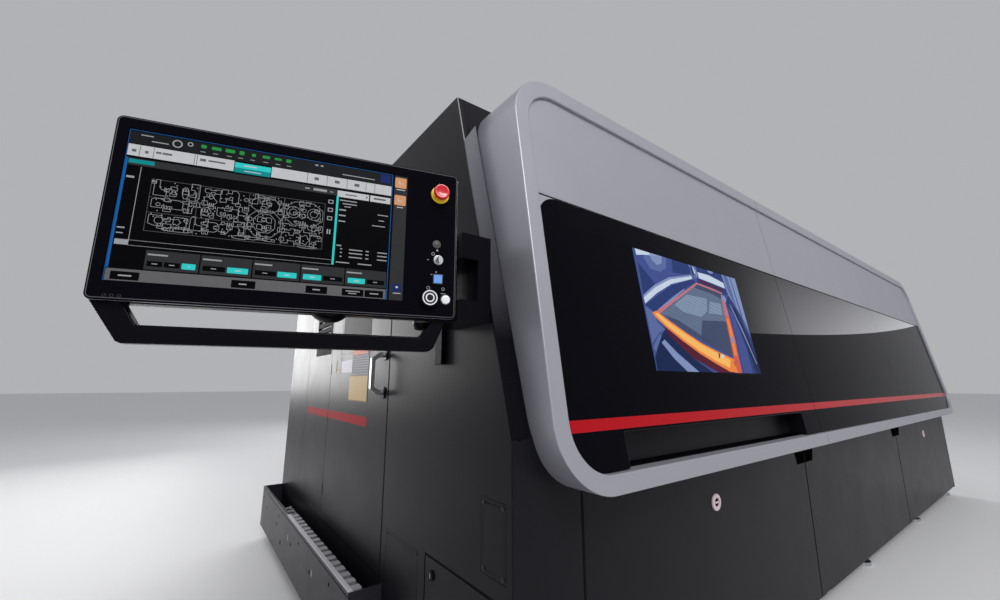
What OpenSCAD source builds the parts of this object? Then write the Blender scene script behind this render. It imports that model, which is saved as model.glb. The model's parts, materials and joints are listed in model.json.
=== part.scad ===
// Fiber laser cutting machine: a long enclosure with a tilted front fascia, a top-hung
// front door, a cutting gantry over a sliding pallet, and a swinging control console.
// Millimetres. X runs along the front to the right, Y to the back, Z up from the floor.
// The origin is on the floor, under the middle of the base.

/* [Body] */
// Length of the body along the front
body_l = 5526; // [5400:1:6600]
// Depth of the body from front to back
body_d = 2806; // [2600:1:3400]
// Height of the roof above the body's lower edge
body_h = 2026; // [1990:1:2440]
// Height of the bend where the front starts to lean back
knee_h = 853; // [800:1:900]
// Lean of the upper front from the vertical, in degrees
slope_deg = 15; // [12:0.5:16]
// Thickness of the insulated wall, roof and rear panels
wall_t = 30; // [28:1:40]
// Height of the body above the floor
foot_h = 80; // [70:1:120]
// Radius of the round locks on the lower doors
door_lock_r = 29; // [20:1:32]
// Thickness of every hinged door
door_t = 25; // [22:1:26]
// Seam between neighbouring panels and doors
seam = 3; // [3:0.5:5]

/* [Front fascia] */
// Length of one of the three fascia modules
module_l = 1800; // [1780:1:1800]
// Lower edge of the fascia above the body's lower edge
fascia_low = 708; // [705:1:730]
// Upper edge of the fascia above the body's lower edge
fascia_high = 2045; // [1980:1:2100]
// How far the lower edge stands out in front of the lower doors
overhang = 115; // [110:1:140]
// Tilt of the front face from the vertical, in degrees
face_tilt = 8.4; // [6:0.1:9]
// Outer corner radius of the frame
frame_r = 200; // [180:1:220]
// Corner radius of the window inside the frame
window_r = 140; // [120:1:145]
// Width of the frame at its two ends
frame_side = 57; // [50:1:60]
// Width of the frame along the bottom
frame_low = 53; // [48:1:56]
// Width of the frame along the top
frame_top = 64; // [56:1:70]
// Sheet thickness of the frame
frame_sheet = 4; // [3:0.5:5]
// Depth of the lip inside the window
lip_d = 40; // [36:1:44]
// How far the upper panels sit behind the frame's face
panel_set = 12; // [8:1:14]
// How far the glass sits behind the frame's face
glass_set = 15; // [15:1:20]
// Thickness of an upper panel
panel_t = 12; // [8:1:14]
// Thickness of the glass
glass_t = 8; // [6:1:10]
// Height of the line between the upper panels and the glass
split_h = 1578; // [1540:1:1600]

/* [Front door] */
// Distance from the fascia's left end to the grip pocket
pocket_x = 284; // [250:1:320]
// Distance from the grip pocket's right end to the end of its module
pocket_end = 188; // [180:1:260]
// Height of the grip pocket
pocket_h = 104; // [90:1:110]
// Depth of the grip pocket
pocket_d = 74; // [60:1:76]
// Distance from the fascia's left end to the display
screen_x = 495; // [450:1:520]
// Length of the display
screen_l = 767; // [700:1:800]
// Height of the display
screen_h = 446; // [400:1:460]
// Height of the display's lower edge above the body's lower edge
screen_low = 1035; // [1010:1:1060]

/* [Left side] */
// Front edge of the side door, measured from the front of the body
door_y = 833; // [820:1:900]
// Width of the side door
door_w = 873; // [800:1:880]
// Width of the fixed panel behind the side door
fixed_w = 547; // [500:1:560]
// Lower edge of the side door above the body's lower edge
door_low = 275; // [270:1:300]
// Upper edge of the side door above the body's lower edge
door_high = 1820; // [1700:1:1840]
// Height of the side door's grip
grip_z = 1038; // [950:1:1100]
// Front edge of the hatch, measured from the front of the body
hatch_y = 86; // [80:1:100]
// Width of the hatch
hatch_w = 365; // [330:1:370]
// Upper edge of the hatch above the body's lower edge
hatch_high = 460; // [420:1:480]
// Lower edge of the hatch above the body's lower edge
hatch_low = 40; // [30:1:80]
// Width of the cable tray beside the left wall
tray_w = 125; // [110:1:140]
// Height of the cable tray above the body's lower edge
tray_h = 260; // [220:1:262]
// Length of the cable tray
tray_l = 1990; // [1800:1:1995]
// Spacing of the ribs on the cable chain
rib_pitch = 74; // [60:1:80]

/* [Console] */
// Width of the console
console_w = 700; // [690:1:760]
// Height of the console
console_h = 374; // [370:1:420]
// Depth of the console
console_d = 90; // [80:1:100]
// Turn of the console away from the front, in degrees
console_turn = 14.8; // [5:0.1:20]
// Height of the console's centre above the body's lower edge
console_z = 1337; // [1300:1:1360]
// Length of the arm between its two pivots
arm_l = 322; // [310:1:380]
// Drop of the grab handle under the console
handle_drop = 78; // [70:1:90]

/* [Cutting unit] */
// Width of the pallet across the machine
pallet_w = 1620; // [1560:1:1640]
// Length of the pallet
pallet_l = 3200; // [3100:1:3240]
// Number of slats on the pallet
slat_count = 42; // [30:1:48]
// Height of the bed's beams above the body's lower edge
bed_h = 920; // [900:1:940]
// Travel of the gantry along the bed
gantry_travel = 3070; // [2800:1:3070]

/* [Hidden] */
$fn = 64;

// Body planes
left = -body_l / 2;
right = body_l / 2;
front = -body_d / 2;
back = body_d / 2;
floor_z = foot_h;
roof_z = foot_h + body_h;
knee_z = foot_h + knee_h;
in_l = left + wall_t;
in_r = right - wall_t;
fit = 0.5;
// Height of a point given above the body's lower edge
function up(h) = foot_h + h;
// Front plane of the body at height z: upright below the knee, leaning back above it
function skin_y(z) = front + max(0, z - knee_z) * tan(slope_deg);
// Clearance between that plane and what is fixed on it
skin_gap = 0.05;

// Fascia planes
fascia_l = 3 * module_l;
fx0 = -fascia_l / 2;
fx1 = fascia_l / 2;
fz0 = up(fascia_low);
fz1 = up(fascia_high);
// Front face of the fascia at height z, d behind its surface
function face_y(z, d = 0) =
    front - overhang + (z - fz0) * tan(face_tilt) + d / cos(face_tilt);
win_x0 = fx0 + frame_side;
win_x1 = fx1 - frame_side;
win_z0 = fz0 + frame_low;
win_z1 = fz1 - frame_top;
split_z = up(split_h);
seam_1 = fx0 + module_l;
seam_2 = fx1 - module_l;
head_gap = 4;
pocket_l = module_l - pocket_x - pocket_end;

// Hinge: a pin in two lugs, with one knuckle between them
hinge_l = 60;
lug_l = 14;
pin_r = 2.5;
boss_r = 4.5;
pin_gap = 0.05;
hinge_set = 5;
hinge_reach = 11;
jamb_gap = 3;
jamb_n = door_t + jamb_gap;
jamb_t = 30;
jamb_lap = 30;
rim_lap = 2;

// Lower doors
low_z0 = up(5);
low_z1 = up(700);
low_x0 = in_l + 217;
notch_w = 270;
notch_low_w = 200;
notch_h = 92;
lock_r = 11;
lock_z = up(562);

// Left side
side_y0 = front + door_y;
side_y1 = side_y0 + door_w;
fixed_y1 = side_y1 + seam + fixed_w;
side_z0 = up(door_low);
side_z1 = up(door_high);
side_grip_y = side_y0 + 45;
side_lock_z = up(grip_z) + 108;
hatch_y0 = front + hatch_y;
hatch_y1 = hatch_y0 + hatch_w;
hatch_z0 = up(hatch_low);
hatch_z1 = up(hatch_high);
tray_y1 = back - 20;
tray_y0 = tray_y1 - tray_l;
cover_t = 3;
cover_gap = 1.2;
// Screwed covers: y from the front, height, width and rise
covers = [[506, 40, 270, 415], [26, 514, 110, 184]];

// Rear
rear_door_x0 = -700;
rear_door_w = 900;
rear_door_z0 = up(150);
rear_door_z1 = up(1800);
duct_x = 1500;
duct_z = up(420);
duct_r = 100;
duct_l = 80;
plate_x0 = 2150;
plate_z0 = up(300);
plate_w = 360;
plate_h = 260;
inlet_r = 10.5;
cable_r = 25;

// Bed, pallet and gantry
pallet_y = -190;
ledge = 40;
beam_w = 160;
beam_h = 280;
bed_gap = 110;
beam_in = pallet_w / 2 + bed_gap;
bed_x0 = in_l + 487;
bed_x1 = in_r;
bed_z = up(bed_h);
beam_z0 = bed_z - beam_h;
frame_bar = 120;
frame_top_z = floor_z + frame_bar;
base_x0 = left + jamb_n + jamb_t;
base_x1 = in_r;
base_y0 = front + jamb_n;
base_y1 = back - wall_t;
// Middle lines of the base's bars; a levelling foot stands where two of them cross
base_xs = [base_x0 + frame_bar / 2, base_x0 / 2, 0, base_x1 / 2, base_x1 - frame_bar / 2];
base_ys = [base_y0 + frame_bar / 2, 0, base_y1 - frame_bar / 2];
pallet_z0 = bed_z - 200;
pallet_rail = 100;
slat_h = 50;
slide_gap = 0.3;
rail_w = 34;
rail_h = 30;
rail_y = beam_in + beam_w / 2;
runner_l = 160;
gantry_x = bed_x0 + 130;
pallet_x0 = bed_x0 + 546;
gantry_w = 300;
gantry_h = 230;
gantry_z0 = bed_z + 75;
gantry_over = 50;
head_y = pallet_y - 700;
head_r = 42;

// Console
pivot_out = 100;
pivot_x = left - pivot_out;
pivot_y = front + 197;
console_mid = up(console_z);
arm_r = 40;
arm_h = 118;
arm_z0 = console_mid - 111;
arm_gap = 0.3;
arm_pin_r = 12;
arm_pin_l = 20;
lug_h = 30;
shell_in = 4;
hub_x = 60;
hub_y = console_d + 40;
bezel_t = 6;
lcd_x0 = -328;
lcd_l = 517;
lcd_z0 = -153;
lcd_h = 315;
button_x = 304;
stop_z = 127;
key_z = -44;
start_z = -92;
low_z = -141;
dial_x = 284;
reset_x = 324;
dial_r = 19;
button_r = 11;
console_r = 12;

// Colours
silver = [0.66, 0.66, 0.70];
charcoal = [0.24, 0.24, 0.27];
dark = [0.10, 0.10, 0.12];
black = [0.04, 0.04, 0.05];
steel = [0.55, 0.56, 0.58];
light = [0.80, 0.80, 0.82];

// A box between two opposite corners
module block(lo, hi) { translate(lo) cube(hi - lo); }

// A side outline of [y, z] points drawn out along X
module along_x(x0, x1, pts) {
    translate([x0, 0, 0]) rotate([90, 0, 90]) linear_extrude(x1 - x0) polygon(pts);
}

// A front outline drawn out along Y, deep enough to cross the whole fascia
module along_y(y0, y1) {
    translate([0, y1, 0]) rotate([90, 0, 0]) linear_extrude(y1 - y0) children();
}

// A front outline with its own radius at each corner: low left, low right, top right, top left
module soft_rect(x0, z0, x1, z1, r) {
    difference() {
        translate([x0, z0]) square([x1 - x0, z1 - z0]);
        if (r[0] > 0) soft_corner(x0, z0, 1, 1, r[0]);
        if (r[1] > 0) soft_corner(x1, z0, -1, 1, r[1]);
        if (r[2] > 0) soft_corner(x1, z1, -1, -1, r[2]);
        if (r[3] > 0) soft_corner(x0, z1, 1, -1, r[3]);
    }
}

// What a rounded corner takes away
module soft_corner(x, z, sx, sz, r) {
    difference() {
        translate([x + (sx > 0 ? -1 : -r), z + (sz > 0 ? -1 : -r)]) square(r + 1);
        translate([x + sx * r, z + sz * r]) circle(r, $fn = 96);
    }
}

// The space between two planes behind the fascia's face
function slab(d0, d1, z0, z1) = [[face_y(z0, d0), z0], [face_y(z1, d0), z1],
    [face_y(z1, d1), z1], [face_y(z0, d1), z0]];

// A fascia panel: a front outline cut to the space between two planes
module face_panel(d0, d1) {
    intersection() {
        along_y(front - 400, front + 600) children();
        along_x(fx0, fx1, slab(d0, d1, fz0, fz1));
    }
}

// Places a hinge: edge, inward and axis directions become local X, Y and Z
module hinge_low(x) { translate([x, front, low_z0]) rotate([0, -90, 0]) children(); }
module hinge_side(z) { translate([left, side_y1, z]) rotate([0, 0, -90]) children(); }
module hinge_hatch(z) { translate([left, hatch_y0, z]) rotate([180, 0, 90]) children(); }
module hinge_rear(z) { translate([rear_door_x0, back, z]) rotate([180, 0, 0]) children(); }
module hinge_head(x) {
    translate([x, face_y(split_z - head_gap, glass_set), split_z - head_gap])
        rotate([-face_tilt, 0, 0]) rotate([0, 90, 0]) children();
}

// The fixed half of a hinge with its pin
module hinge_fixed(reach = jamb_n) {
    for (z = [0, hinge_l - lug_l]) translate([0, 0, z]) {
        translate([hinge_set, hinge_set, 0]) cylinder(r = boss_r, h = lug_l);
        block([hinge_set - 4, hinge_set, 0], [hinge_set + 4, reach, lug_l]);
    }
    translate([hinge_set, hinge_set, 0]) cylinder(r = pin_r, h = hinge_l);
}

// The room that a hinge takes out of a door's edge, which may lean over the hinge
module hinge_room() { block([-6, -1, -1], [hinge_reach, door_t + 1, hinge_l + 1]); }

// The knuckle on the door, reaching from the pin to the door
module hinge_knuckle() {
    difference() {
        union() {
            translate([hinge_set, hinge_set, lug_l + 1])
                cylinder(r = boss_r, h = hinge_l - 2 * lug_l - 2);
            block([hinge_set, 1, lug_l + 1], [hinge_reach, 9, hinge_l - lug_l - 1]);
        }
        translate([hinge_set, hinge_set, 0]) cylinder(r = pin_r + pin_gap, h = hinge_l);
    }
}

// Where the hinges stand
function pair(a, b) = [a + 120, b - 60];
low_spans = [[low_x0, seam_1 - seam / 2], [seam_1 + seam / 2, seam_2 - seam / 2],
    [seam_2 + seam / 2, in_r - seam]];
side_hinges = [side_z0 + 120, (side_z0 + side_z1) / 2, side_z1 - 180];
hatch_hinges = [hatch_z0 + 110, hatch_z1 - 50];
rear_hinges = [rear_door_z0 + 210, (rear_door_z0 + rear_door_z1) / 2, rear_door_z1 - 150];
head_hinges = [win_x0 + 140, win_x0 + 620, seam_1 - 663, seam_1 - 183];

// ---- Base and bed ----

module base_frame() {
    color(charcoal) union() {
        for (y = base_ys) block([base_x0, y - frame_bar / 2, floor_z],
            [base_x1, y + frame_bar / 2, frame_top_z]);
        for (x = base_xs) block([x - frame_bar / 2, base_y0, floor_z],
            [x + frame_bar / 2, base_y1, frame_top_z]);
    }
}

module levelling_feet() {
    color(steel) for (x = base_xs, y = base_ys) translate([x, y, 0]) {
        cylinder(r = 55, h = 20);
        translate([0, 0, 20]) cylinder(r = 16, h = foot_h - 20);
        translate([0, 0, foot_h - 30]) cylinder(r = 27, h = 20, $fn = 6);
    }
}

module bed() {
    legs = [bed_x0, -1000, 700, bed_x1 - beam_w];
    color(charcoal) union() {
        for (s = [-1, 1]) {
            inner = pallet_y + s * beam_in;
            outer = inner + s * beam_w;
            block([bed_x0, min(inner, outer), beam_z0], [bed_x1, max(inner, outer), bed_z]);
            shelf = pallet_y + s * (pallet_w / 2 - ledge);
            block([bed_x0, min(inner, shelf), pallet_z0 - 20],
                [bed_x1, max(inner, shelf), pallet_z0]);
            for (x = legs)
                block([x, min(inner, outer), frame_top_z], [x + beam_w, max(inner, outer), beam_z0]);
        }
        for (x = legs)
            block([x, pallet_y - beam_in, beam_z0], [x + beam_w, pallet_y + beam_in, beam_z0 + 60]);
    }
}

module x_rails() {
    color(steel) for (s = [-1, 1])
        translate([bed_x0, pallet_y + s * rail_y - rail_w / 2, bed_z])
            difference() {
                cube([bed_x1 - bed_x0 - 10, rail_w, rail_h]);
                for (side = [-1, rail_w - 5])
                    translate([-1, side, 10]) cube([bed_x1 - bed_x0, 6, 8]);
            }
}

// Inner walls between the cutting chamber, the left bay and the rear bay
module chamber_walls() {
    y1 = pallet_y + beam_in + beam_w + 40;
    x0 = bed_x0 - 20;
    top = roof_z - wall_t;
    color(dark) union() {
        along_x(x0, x0 + 4, [[skin_y(frame_top_z) + 45, frame_top_z], [skin_y(knee_z) + 45, knee_z],
            [skin_y(top) + 45, top], [y1, top], [y1, frame_top_z]]);
        block([x0, y1 - 4, frame_top_z], [in_r, y1, top]);
    }
}

module scrap_bins() {
    xs = [bed_x0 + beam_w + 40, -1000 + beam_w + 40, 700 + beam_w + 40];
    ls = [1030, 1460, 1600];
    color(steel) for (i = [0, 1, 2]) translate([xs[i], pallet_y - 730, frame_top_z])
        difference() {
            cube([ls[i], 1460, 380]);
            translate([4, 4, 4]) cube([ls[i] - 8, 1452, 380]);
        }
}

// ---- Outer panels ----

// Side outline of the whole body
body_side = [[front, floor_z], [front, knee_z], [skin_y(roof_z), roof_z], [back, roof_z],
    [back, floor_z]];

// A frame of bars behind a door opening, that the door closes onto
module jamb(y0, z0, y1, z1) {
    difference() {
        block([left + jamb_n, y0 - jamb_lap, z0 - jamb_lap],
            [left + jamb_n + jamb_t, y1 + jamb_lap, z1 + jamb_lap]);
        block([left, y0 + jamb_lap, z0 + jamb_lap], [left + 100, y1 - jamb_lap, z1 - jamb_lap]);
    }
}

// A rim round an opening u0..u1 by z0..z1. Where thick doors put their frame behind the wall, it
// joins the frame to the wall
module frame_rim(u0, z0, u1, z1) {
    if (jamb_n > wall_t - rim_lap) linear_extrude(jamb_n - wall_t + 2 * rim_lap) difference() {
        translate([u0 - jamb_lap, z0 - jamb_lap])
            square([u1 - u0 + 2 * jamb_lap, z1 - z0 + 2 * jamb_lap]);
        translate([u0 - seam, z0 - seam]) square([u1 - u0 + 2 * seam, z1 - z0 + 2 * seam]);
    }
}
module left_rim(y0, z0, y1, z1) {
    translate([in_l - rim_lap, 0, 0]) rotate([90, 0, 90]) frame_rim(y0, z0, y1, z1);
}

module left_wall() {
    color(charcoal) difference() {
        union() {
            difference() {
                along_x(left, in_l, body_side);
                block([left - 1, side_y0 - seam, side_z0 - seam],
                    [in_l + 1, fixed_y1 + seam, side_z1 + seam]);
                block([left - 1, hatch_y0 - seam, hatch_z0 - seam],
                    [in_l + 1, hatch_y1 + seam, hatch_z1 + seam]);
            }
            left_rim(side_y0, side_z0, fixed_y1, side_z1);
            left_rim(hatch_y0, hatch_z0, hatch_y1, hatch_z1);
            jamb(side_y0, side_z0, side_y1, side_z1);
            jamb(side_y1 + seam, side_z0, fixed_y1, side_z1);
            jamb(hatch_y0, hatch_z0, hatch_y1, hatch_z1);
            block([left, front, floor_z], [low_x0 - seam, front + jamb_n, low_z1]);
        }
        for (c = covers) cover_room(c);
        for (c = covers, p = screw_points(c)) screw_at(p) cylinder(r = 2.5, h = 20);
    }
}

module cover_room(c) {
    block([left - 1, front + c[0] - cover_gap, up(c[1]) - cover_gap],
        [left + cover_t, front + c[0] + c[2] + cover_gap, up(c[1] + c[3]) + cover_gap]);
}

// The four corners of a cover where its screws stand
function screw_points(c) = [for (y = [12, c[2] - 12], z = [12, c[3] - 12])
    [front + c[0] + y, up(c[1]) + z]];
module screw_at(p) { translate([left, p[0], p[1]]) rotate([0, 90, 0]) children(); }

module side_covers() {
    color(charcoal) for (c = covers) difference() {
        block([left, front + c[0], up(c[1])],
            [left + cover_t, front + c[0] + c[2], up(c[1] + c[3])]);
        for (p = screw_points(c)) screw_at(p) translate([0, 0, -1]) cylinder(r = 2.6, h = 5);
    }
}

module cover_screws() {
    color(steel) for (c = covers, p = screw_points(c)) screw_at(p) difference() {
        union() {
            translate([0, 0, -2.5]) cylinder(r = 5, h = 2.5);
            cylinder(r = 2.4, h = 18);
        }
        translate([0, 0, -3]) cylinder(r = 2, h = 2, $fn = 6);
    }
}

module left_rear_panel() {
    color(charcoal) difference() {
        block([left, side_y1 + seam, side_z0], [left + jamb_n, fixed_y1, side_z1]);
        for (z = [side_z0 + 940 : 40 : side_z1 - 120])
            block([left - 1, side_y1 + seam + 60, z], [left + 10, side_y1 + seam + 360, z + 14]);
    }
}

module right_wall() {
    color(charcoal) difference() {
        along_x(in_r, right, body_side);
        block([in_r - 1, pallet_y - pallet_w / 2 - 40, pallet_z0 - 30],
            [right + 1, pallet_y + pallet_w / 2 + 40, bed_z + 100]);
    }
}

module rear_wall() {
    y0 = back - wall_t;
    color(charcoal) difference() {
        union() {
            difference() {
                block([in_l, y0, floor_z], [in_r, back, roof_z - wall_t]);
                block([rear_door_x0 - seam, y0 - 1, rear_door_z0 - seam],
                    [rear_door_x0 + rear_door_w + seam, back + 1, rear_door_z1 + seam]);
            }
            difference() {
                block([rear_door_x0 - jamb_lap, back - jamb_n - jamb_t, rear_door_z0 - jamb_lap],
                    [rear_door_x0 + rear_door_w + jamb_lap, back - jamb_n, rear_door_z1 + jamb_lap]);
                block([rear_door_x0 + jamb_lap, y0 - 100, rear_door_z0 + jamb_lap],
                    [rear_door_x0 + rear_door_w - jamb_lap, back, rear_door_z1 - jamb_lap]);
            }
            translate([0, y0 + rim_lap, 0]) rotate([90, 0, 0])
                frame_rim(rear_door_x0, rear_door_z0, rear_door_x0 + rear_door_w, rear_door_z1);
            translate([duct_x, back, duct_z]) rotate([-90, 0, 0]) cylinder(r = duct_r, h = duct_l);
        }
        translate([duct_x, y0 - 1, duct_z]) rotate([-90, 0, 0])
            cylinder(r = duct_r - 3, h = wall_t + duct_l + 2);
        block([plate_x0 + 20, y0 - 1, plate_z0 + 20],
            [plate_x0 + plate_w - 20, back + 1, plate_z0 + plate_h - 20]);
    }
}

module service_plate() {
    color(steel) difference() {
        block([plate_x0, back, plate_z0], [plate_x0 + plate_w, back + 6, plate_z0 + plate_h]);
        translate([plate_x0 + 90, back - 1, plate_z0 + 170]) rotate([-90, 0, 0])
            cylinder(r = inlet_r, h = 8);
        translate([plate_x0 + 250, back - 1, plate_z0 + 100]) rotate([-90, 0, 0])
            cylinder(r = cable_r, h = 8);
    }
}

module roof_panels() {
    y0 = skin_y(roof_z) + 45;
    third = (in_r - in_l) / 3;
    color(charcoal) for (i = [0, 1, 2])
        block([in_l + i * third + (i > 0 ? seam / 2 : 0), y0, roof_z - wall_t],
            [in_l + (i + 1) * third - (i < 2 ? seam / 2 : 0), back, roof_z]);
}

// Welded frame behind the fascia, with the opening that the front door closes
module front_frame() {
    d = 40;
    z0 = low_z1 + 5;
    slope_in = d / cos(slope_deg);
    outer = [[front, z0], [front, knee_z], [skin_y(roof_z), roof_z],
        [skin_y(roof_z) + slope_in, roof_z], [front + slope_in, knee_z], [front + d, z0]];
    color(dark) difference() {
        union() {
            along_x(in_l, in_r, outer);
            // Header that carries the front door's hinges
            along_x(win_x0 + 4, seam_1, [
                [face_y(split_z - 30, glass_set + jamb_n), split_z - 30],
                [face_y(split_z + 30, glass_set + jamb_n), split_z + 30],
                [skin_y(split_z + 30) + 5, split_z + 30], [skin_y(split_z - 30) + 5, split_z - 30]]);
        }
        block([bed_x0 + 20, front - 200, knee_z + 30], [seam_1 - 90, front + 600, split_z - 60]);
    }
}

// ---- Fascia ----

module frame_outline(inset = 0) {
    r = frame_r - inset;
    soft_rect(fx0 + inset, fz0 + inset, fx1 - inset, fz1 - inset, [r, r, r, r]);
}

module window_outline(inset = 0) {
    r = window_r - inset;
    soft_rect(win_x0 + inset, win_z0 + inset, win_x1 - inset, win_z1 - inset, [r, r, r, r]);
}

// Side outline of the fascia from depth d in to the body's skin
function fascia_side(d) = [[face_y(fz0, d), fz0], [face_y(fz1, d), fz1],
    [skin_y(fz1) - skin_gap, fz1], [front - skin_gap, knee_z], [front - skin_gap, fz0]];

module fascia_frame() {
    y0 = front - 400;
    y1 = front + 600;
    color(silver) difference() {
        intersection() {
            along_y(y0, y1) frame_outline();
            along_x(fx0, fx1, fascia_side(0));
        }
        along_y(y0, y1) window_outline();
        difference() {
            intersection() {
                along_y(y0, y1) frame_outline(frame_sheet);
                along_x(fx0, fx1, fascia_side(frame_sheet));
            }
            intersection() {
                along_y(y0, y1) window_outline(-frame_sheet);
                along_x(fx0, fx1, slab(0, lip_d, fz0, fz1));
            }
        }
    }
}

// Strips that cover the body's leaning corner beside the frame, cut off at a slant
module fascia_side_trims() {
    t = 3 / cos(slope_deg);
    z0 = knee_z + 5;
    z1 = roof_z - 109;
    color(silver) for (s = [-1, 1]) difference() {
        along_x(s < 0 ? left : fx1 + seam, s < 0 ? fx0 - seam : right, [[skin_y(z0) - t, z0],
            [skin_y(z1) - t, z1], [skin_y(z1) - skin_gap, z1], [skin_y(z0) - skin_gap, z0]]);
        translate([s * (fascia_l / 2 + seam), front - 100, z1])
            rotate([0, s * 57, 0]) translate([-200, 0, 0]) cube([400, 600, 300]);
    }
}

module upper_outline(x0, x1) {
    difference() {
        intersection() {
            window_outline(fit);
            translate([x0, win_z0]) square([x1 - x0, win_z1 - win_z0]);
        }
        soft_rect(win_x0 - 50, win_z0 - 1, win_x1 + 50, split_z, [0, 0, 0, 0]);
    }
}

module upper_panel_left() {
    color(silver) face_panel(panel_set, panel_set + panel_t)
        upper_outline(win_x0, seam_1 - seam / 2);
}
module upper_panel_mid() {
    color(silver) face_panel(panel_set, panel_set + panel_t)
        upper_outline(seam_1 + seam / 2, seam_2 - seam / 2);
}
module upper_panel_right() {
    color(silver) face_panel(panel_set, panel_set + panel_t)
        upper_outline(seam_2 + seam / 2, win_x1);
}

module glass_mid() {
    color(black) face_panel(glass_set, glass_set + glass_t)
        soft_rect(seam_1 + seam / 2, win_z0 + fit, seam_2 - seam / 2, split_z - seam, [0, 0, 0, 0]);
}
module glass_right() {
    color(black) face_panel(glass_set, glass_set + glass_t)
        soft_rect(seam_2 + seam / 2, win_z0 + fit, win_x1 - fit, split_z - seam,
            [0, window_r - fit, 0, 0]);
}

// ---- Front door ----

door_x0 = win_x0 + seam;
door_x1 = seam_1 - seam / 2;
door_z0 = win_z0 + seam;
door_z1 = split_z - head_gap;
rail_top = 14;
module door_outline(inset = 0) {
    soft_rect(door_x0 + inset, door_z0 + inset, door_x1 - inset, door_z1 - inset,
        [window_r - seam - inset, 0, 0, 0]);
}
module pocket_outline(grow = 0) {
    translate([fx0 + pocket_x - grow, door_z0 - 1 - grow])
        square([pocket_l + 2 * grow, pocket_h - seam + 1 + 2 * grow]);
}
module screen_outline(grow = 0) {
    translate([fx0 + screen_x - grow, up(screen_low) - grow])
        square([screen_l + 2 * grow, screen_h + 2 * grow]);
}

module front_door_glass() {
    color(black) face_panel(glass_set, glass_set + glass_t) difference() {
        door_outline();
        translate([door_x0, door_z1 - rail_top]) square([door_x1 - door_x0, rail_top + 1]);
        pocket_outline();
        screen_outline(fit / 2);
    }
}

module front_door_frame() {
    inner = 70;
    d0 = glass_set + glass_t;
    color(dark) difference() {
        union() {
            face_panel(d0, glass_set + door_t) difference() {
                door_outline(4);
                translate([door_x0 + inner, up(screen_low) - 50])
                    square([door_x1 - door_x0 - 2 * inner, door_z1 - up(screen_low) + 50 - inner]);
                pocket_outline(4);
            }
            face_panel(glass_set, glass_set + door_t) intersection() {
                door_outline();
                translate([door_x0, door_z1 - rail_top]) square([door_x1 - door_x0, rail_top + 1]);
            }
            for (x = head_hinges) hinge_head(x) hinge_knuckle();
        }
        for (x = head_hinges) hinge_head(x) difference() {
            hinge_room();
            hinge_knuckle_space();
        }
        for (x = head_hinges) hinge_head(x)
            translate([hinge_set, hinge_set, -1]) cylinder(r = pin_r + pin_gap, h = hinge_l + 2);
    }
}

// The room that stays for a knuckle inside the hinge's room
module hinge_knuckle_space() {
    translate([hinge_set, hinge_set, lug_l + 1]) cylinder(r = boss_r, h = hinge_l - 2 * lug_l - 2);
    block([hinge_set, 1, lug_l + 1], [hinge_reach + 1, 9, hinge_l - lug_l - 1]);
}

// The grip pocket: a tray let into the door, open to the front and below
module grip_tray() {
    t = 3;
    x0 = fx0 + pocket_x + fit;
    x1 = x0 + pocket_l - 2 * fit;
    z0 = door_z0;
    z1 = win_z0 + pocket_h - fit;
    color(dark) difference() {
        along_x(x0, x1, slab(glass_set, glass_set + pocket_d, z0, z1));
        along_x(x0 + t, x1 - t, [[face_y(z0 - 1, 0), z0 - 1], [face_y(z1 - t, 0), z1 - t],
            [face_y(z1 - t, glass_set + pocket_d - t), z1 - t],
            [face_y(z0 - 1, glass_set + pocket_d - t), z0 - 1]]);
    }
}

module front_display() {
    color([0.2, 0.35, 0.5]) face_panel(glass_set, glass_set + door_t - 2) screen_outline();
}

// ---- Side door, hatch and lower doors ----

module side_door() {
    win = [[side_y1 - 640, up(1150)], [side_y1 - 180, up(1640)]];
    color(charcoal) difference() {
        union() {
            difference() {
                block([left, side_y0, side_z0], [left + door_t, side_y1, side_z1]);
                for (z = side_hinges) hinge_side(z) hinge_room();
            }
            for (z = side_hinges) hinge_side(z) hinge_knuckle();
        }
        block([left - 1, win[0][0], win[0][1]], [left + 4, win[1][0], win[1][1]]);
        translate([left - 1, side_grip_y, side_lock_z]) rotate([0, 90, 0])
            cylinder(r = lock_r + pin_gap, h = door_t + 2);
    }
}

// The grip: a D-shaped bar that stands off the door on two feet
module side_door_grip() {
    z = up(grip_z);
    y = side_grip_y;
    out = 62;
    color(light) union() {
        for (s = [-1, 1]) translate([left - 18, y, z + s * 78]) rotate([0, 90, 0])
            cylinder(r = 11, h = 18);
        intersection() {
            along_y(y - 9, y + 9) difference() {
                translate([left - out, z - 89]) square([out - 10, 178]);
                polygon([[left - out + 16, z - 55], [left - out + 16, z + 55],
                    [left - 24, z + 68], [left, z + 68], [left, z - 68], [left - 24, z - 68]]);
                polygon([[left - out - 1, z + 62], [left - out - 1, z + 90], [left - 26, z + 90]]);
                polygon([[left - out - 1, z - 62], [left - out - 1, z - 90], [left - 26, z - 90]]);
            }
            block([left - out, y - 9, z - 89], [left - 10, y + 9, z + 89]);
        }
    }
}

// A quarter-turn lock along +Z: dished head outside, barrel through the door, cam inside
module quarter_lock(cam, face_r) {
    union() {
        difference() {
            translate([0, 0, -5]) cylinder(r = face_r, h = 5);
            translate([0, 0, -6]) cylinder(r = face_r * 0.55, h = 4);
        }
        translate([-face_r * 0.4, -2.5, -6]) cube([face_r * 0.8, 5, 5]);
        cylinder(r = lock_r, h = door_t + 6);
        translate([-9, -9, door_t + 1]) cube([cam, 18, 5]);
    }
}

module side_door_lock() {
    color(black) translate([left, side_grip_y, side_lock_z])
        rotate([0, 90, 0]) quarter_lock(18, 15);
}

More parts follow.
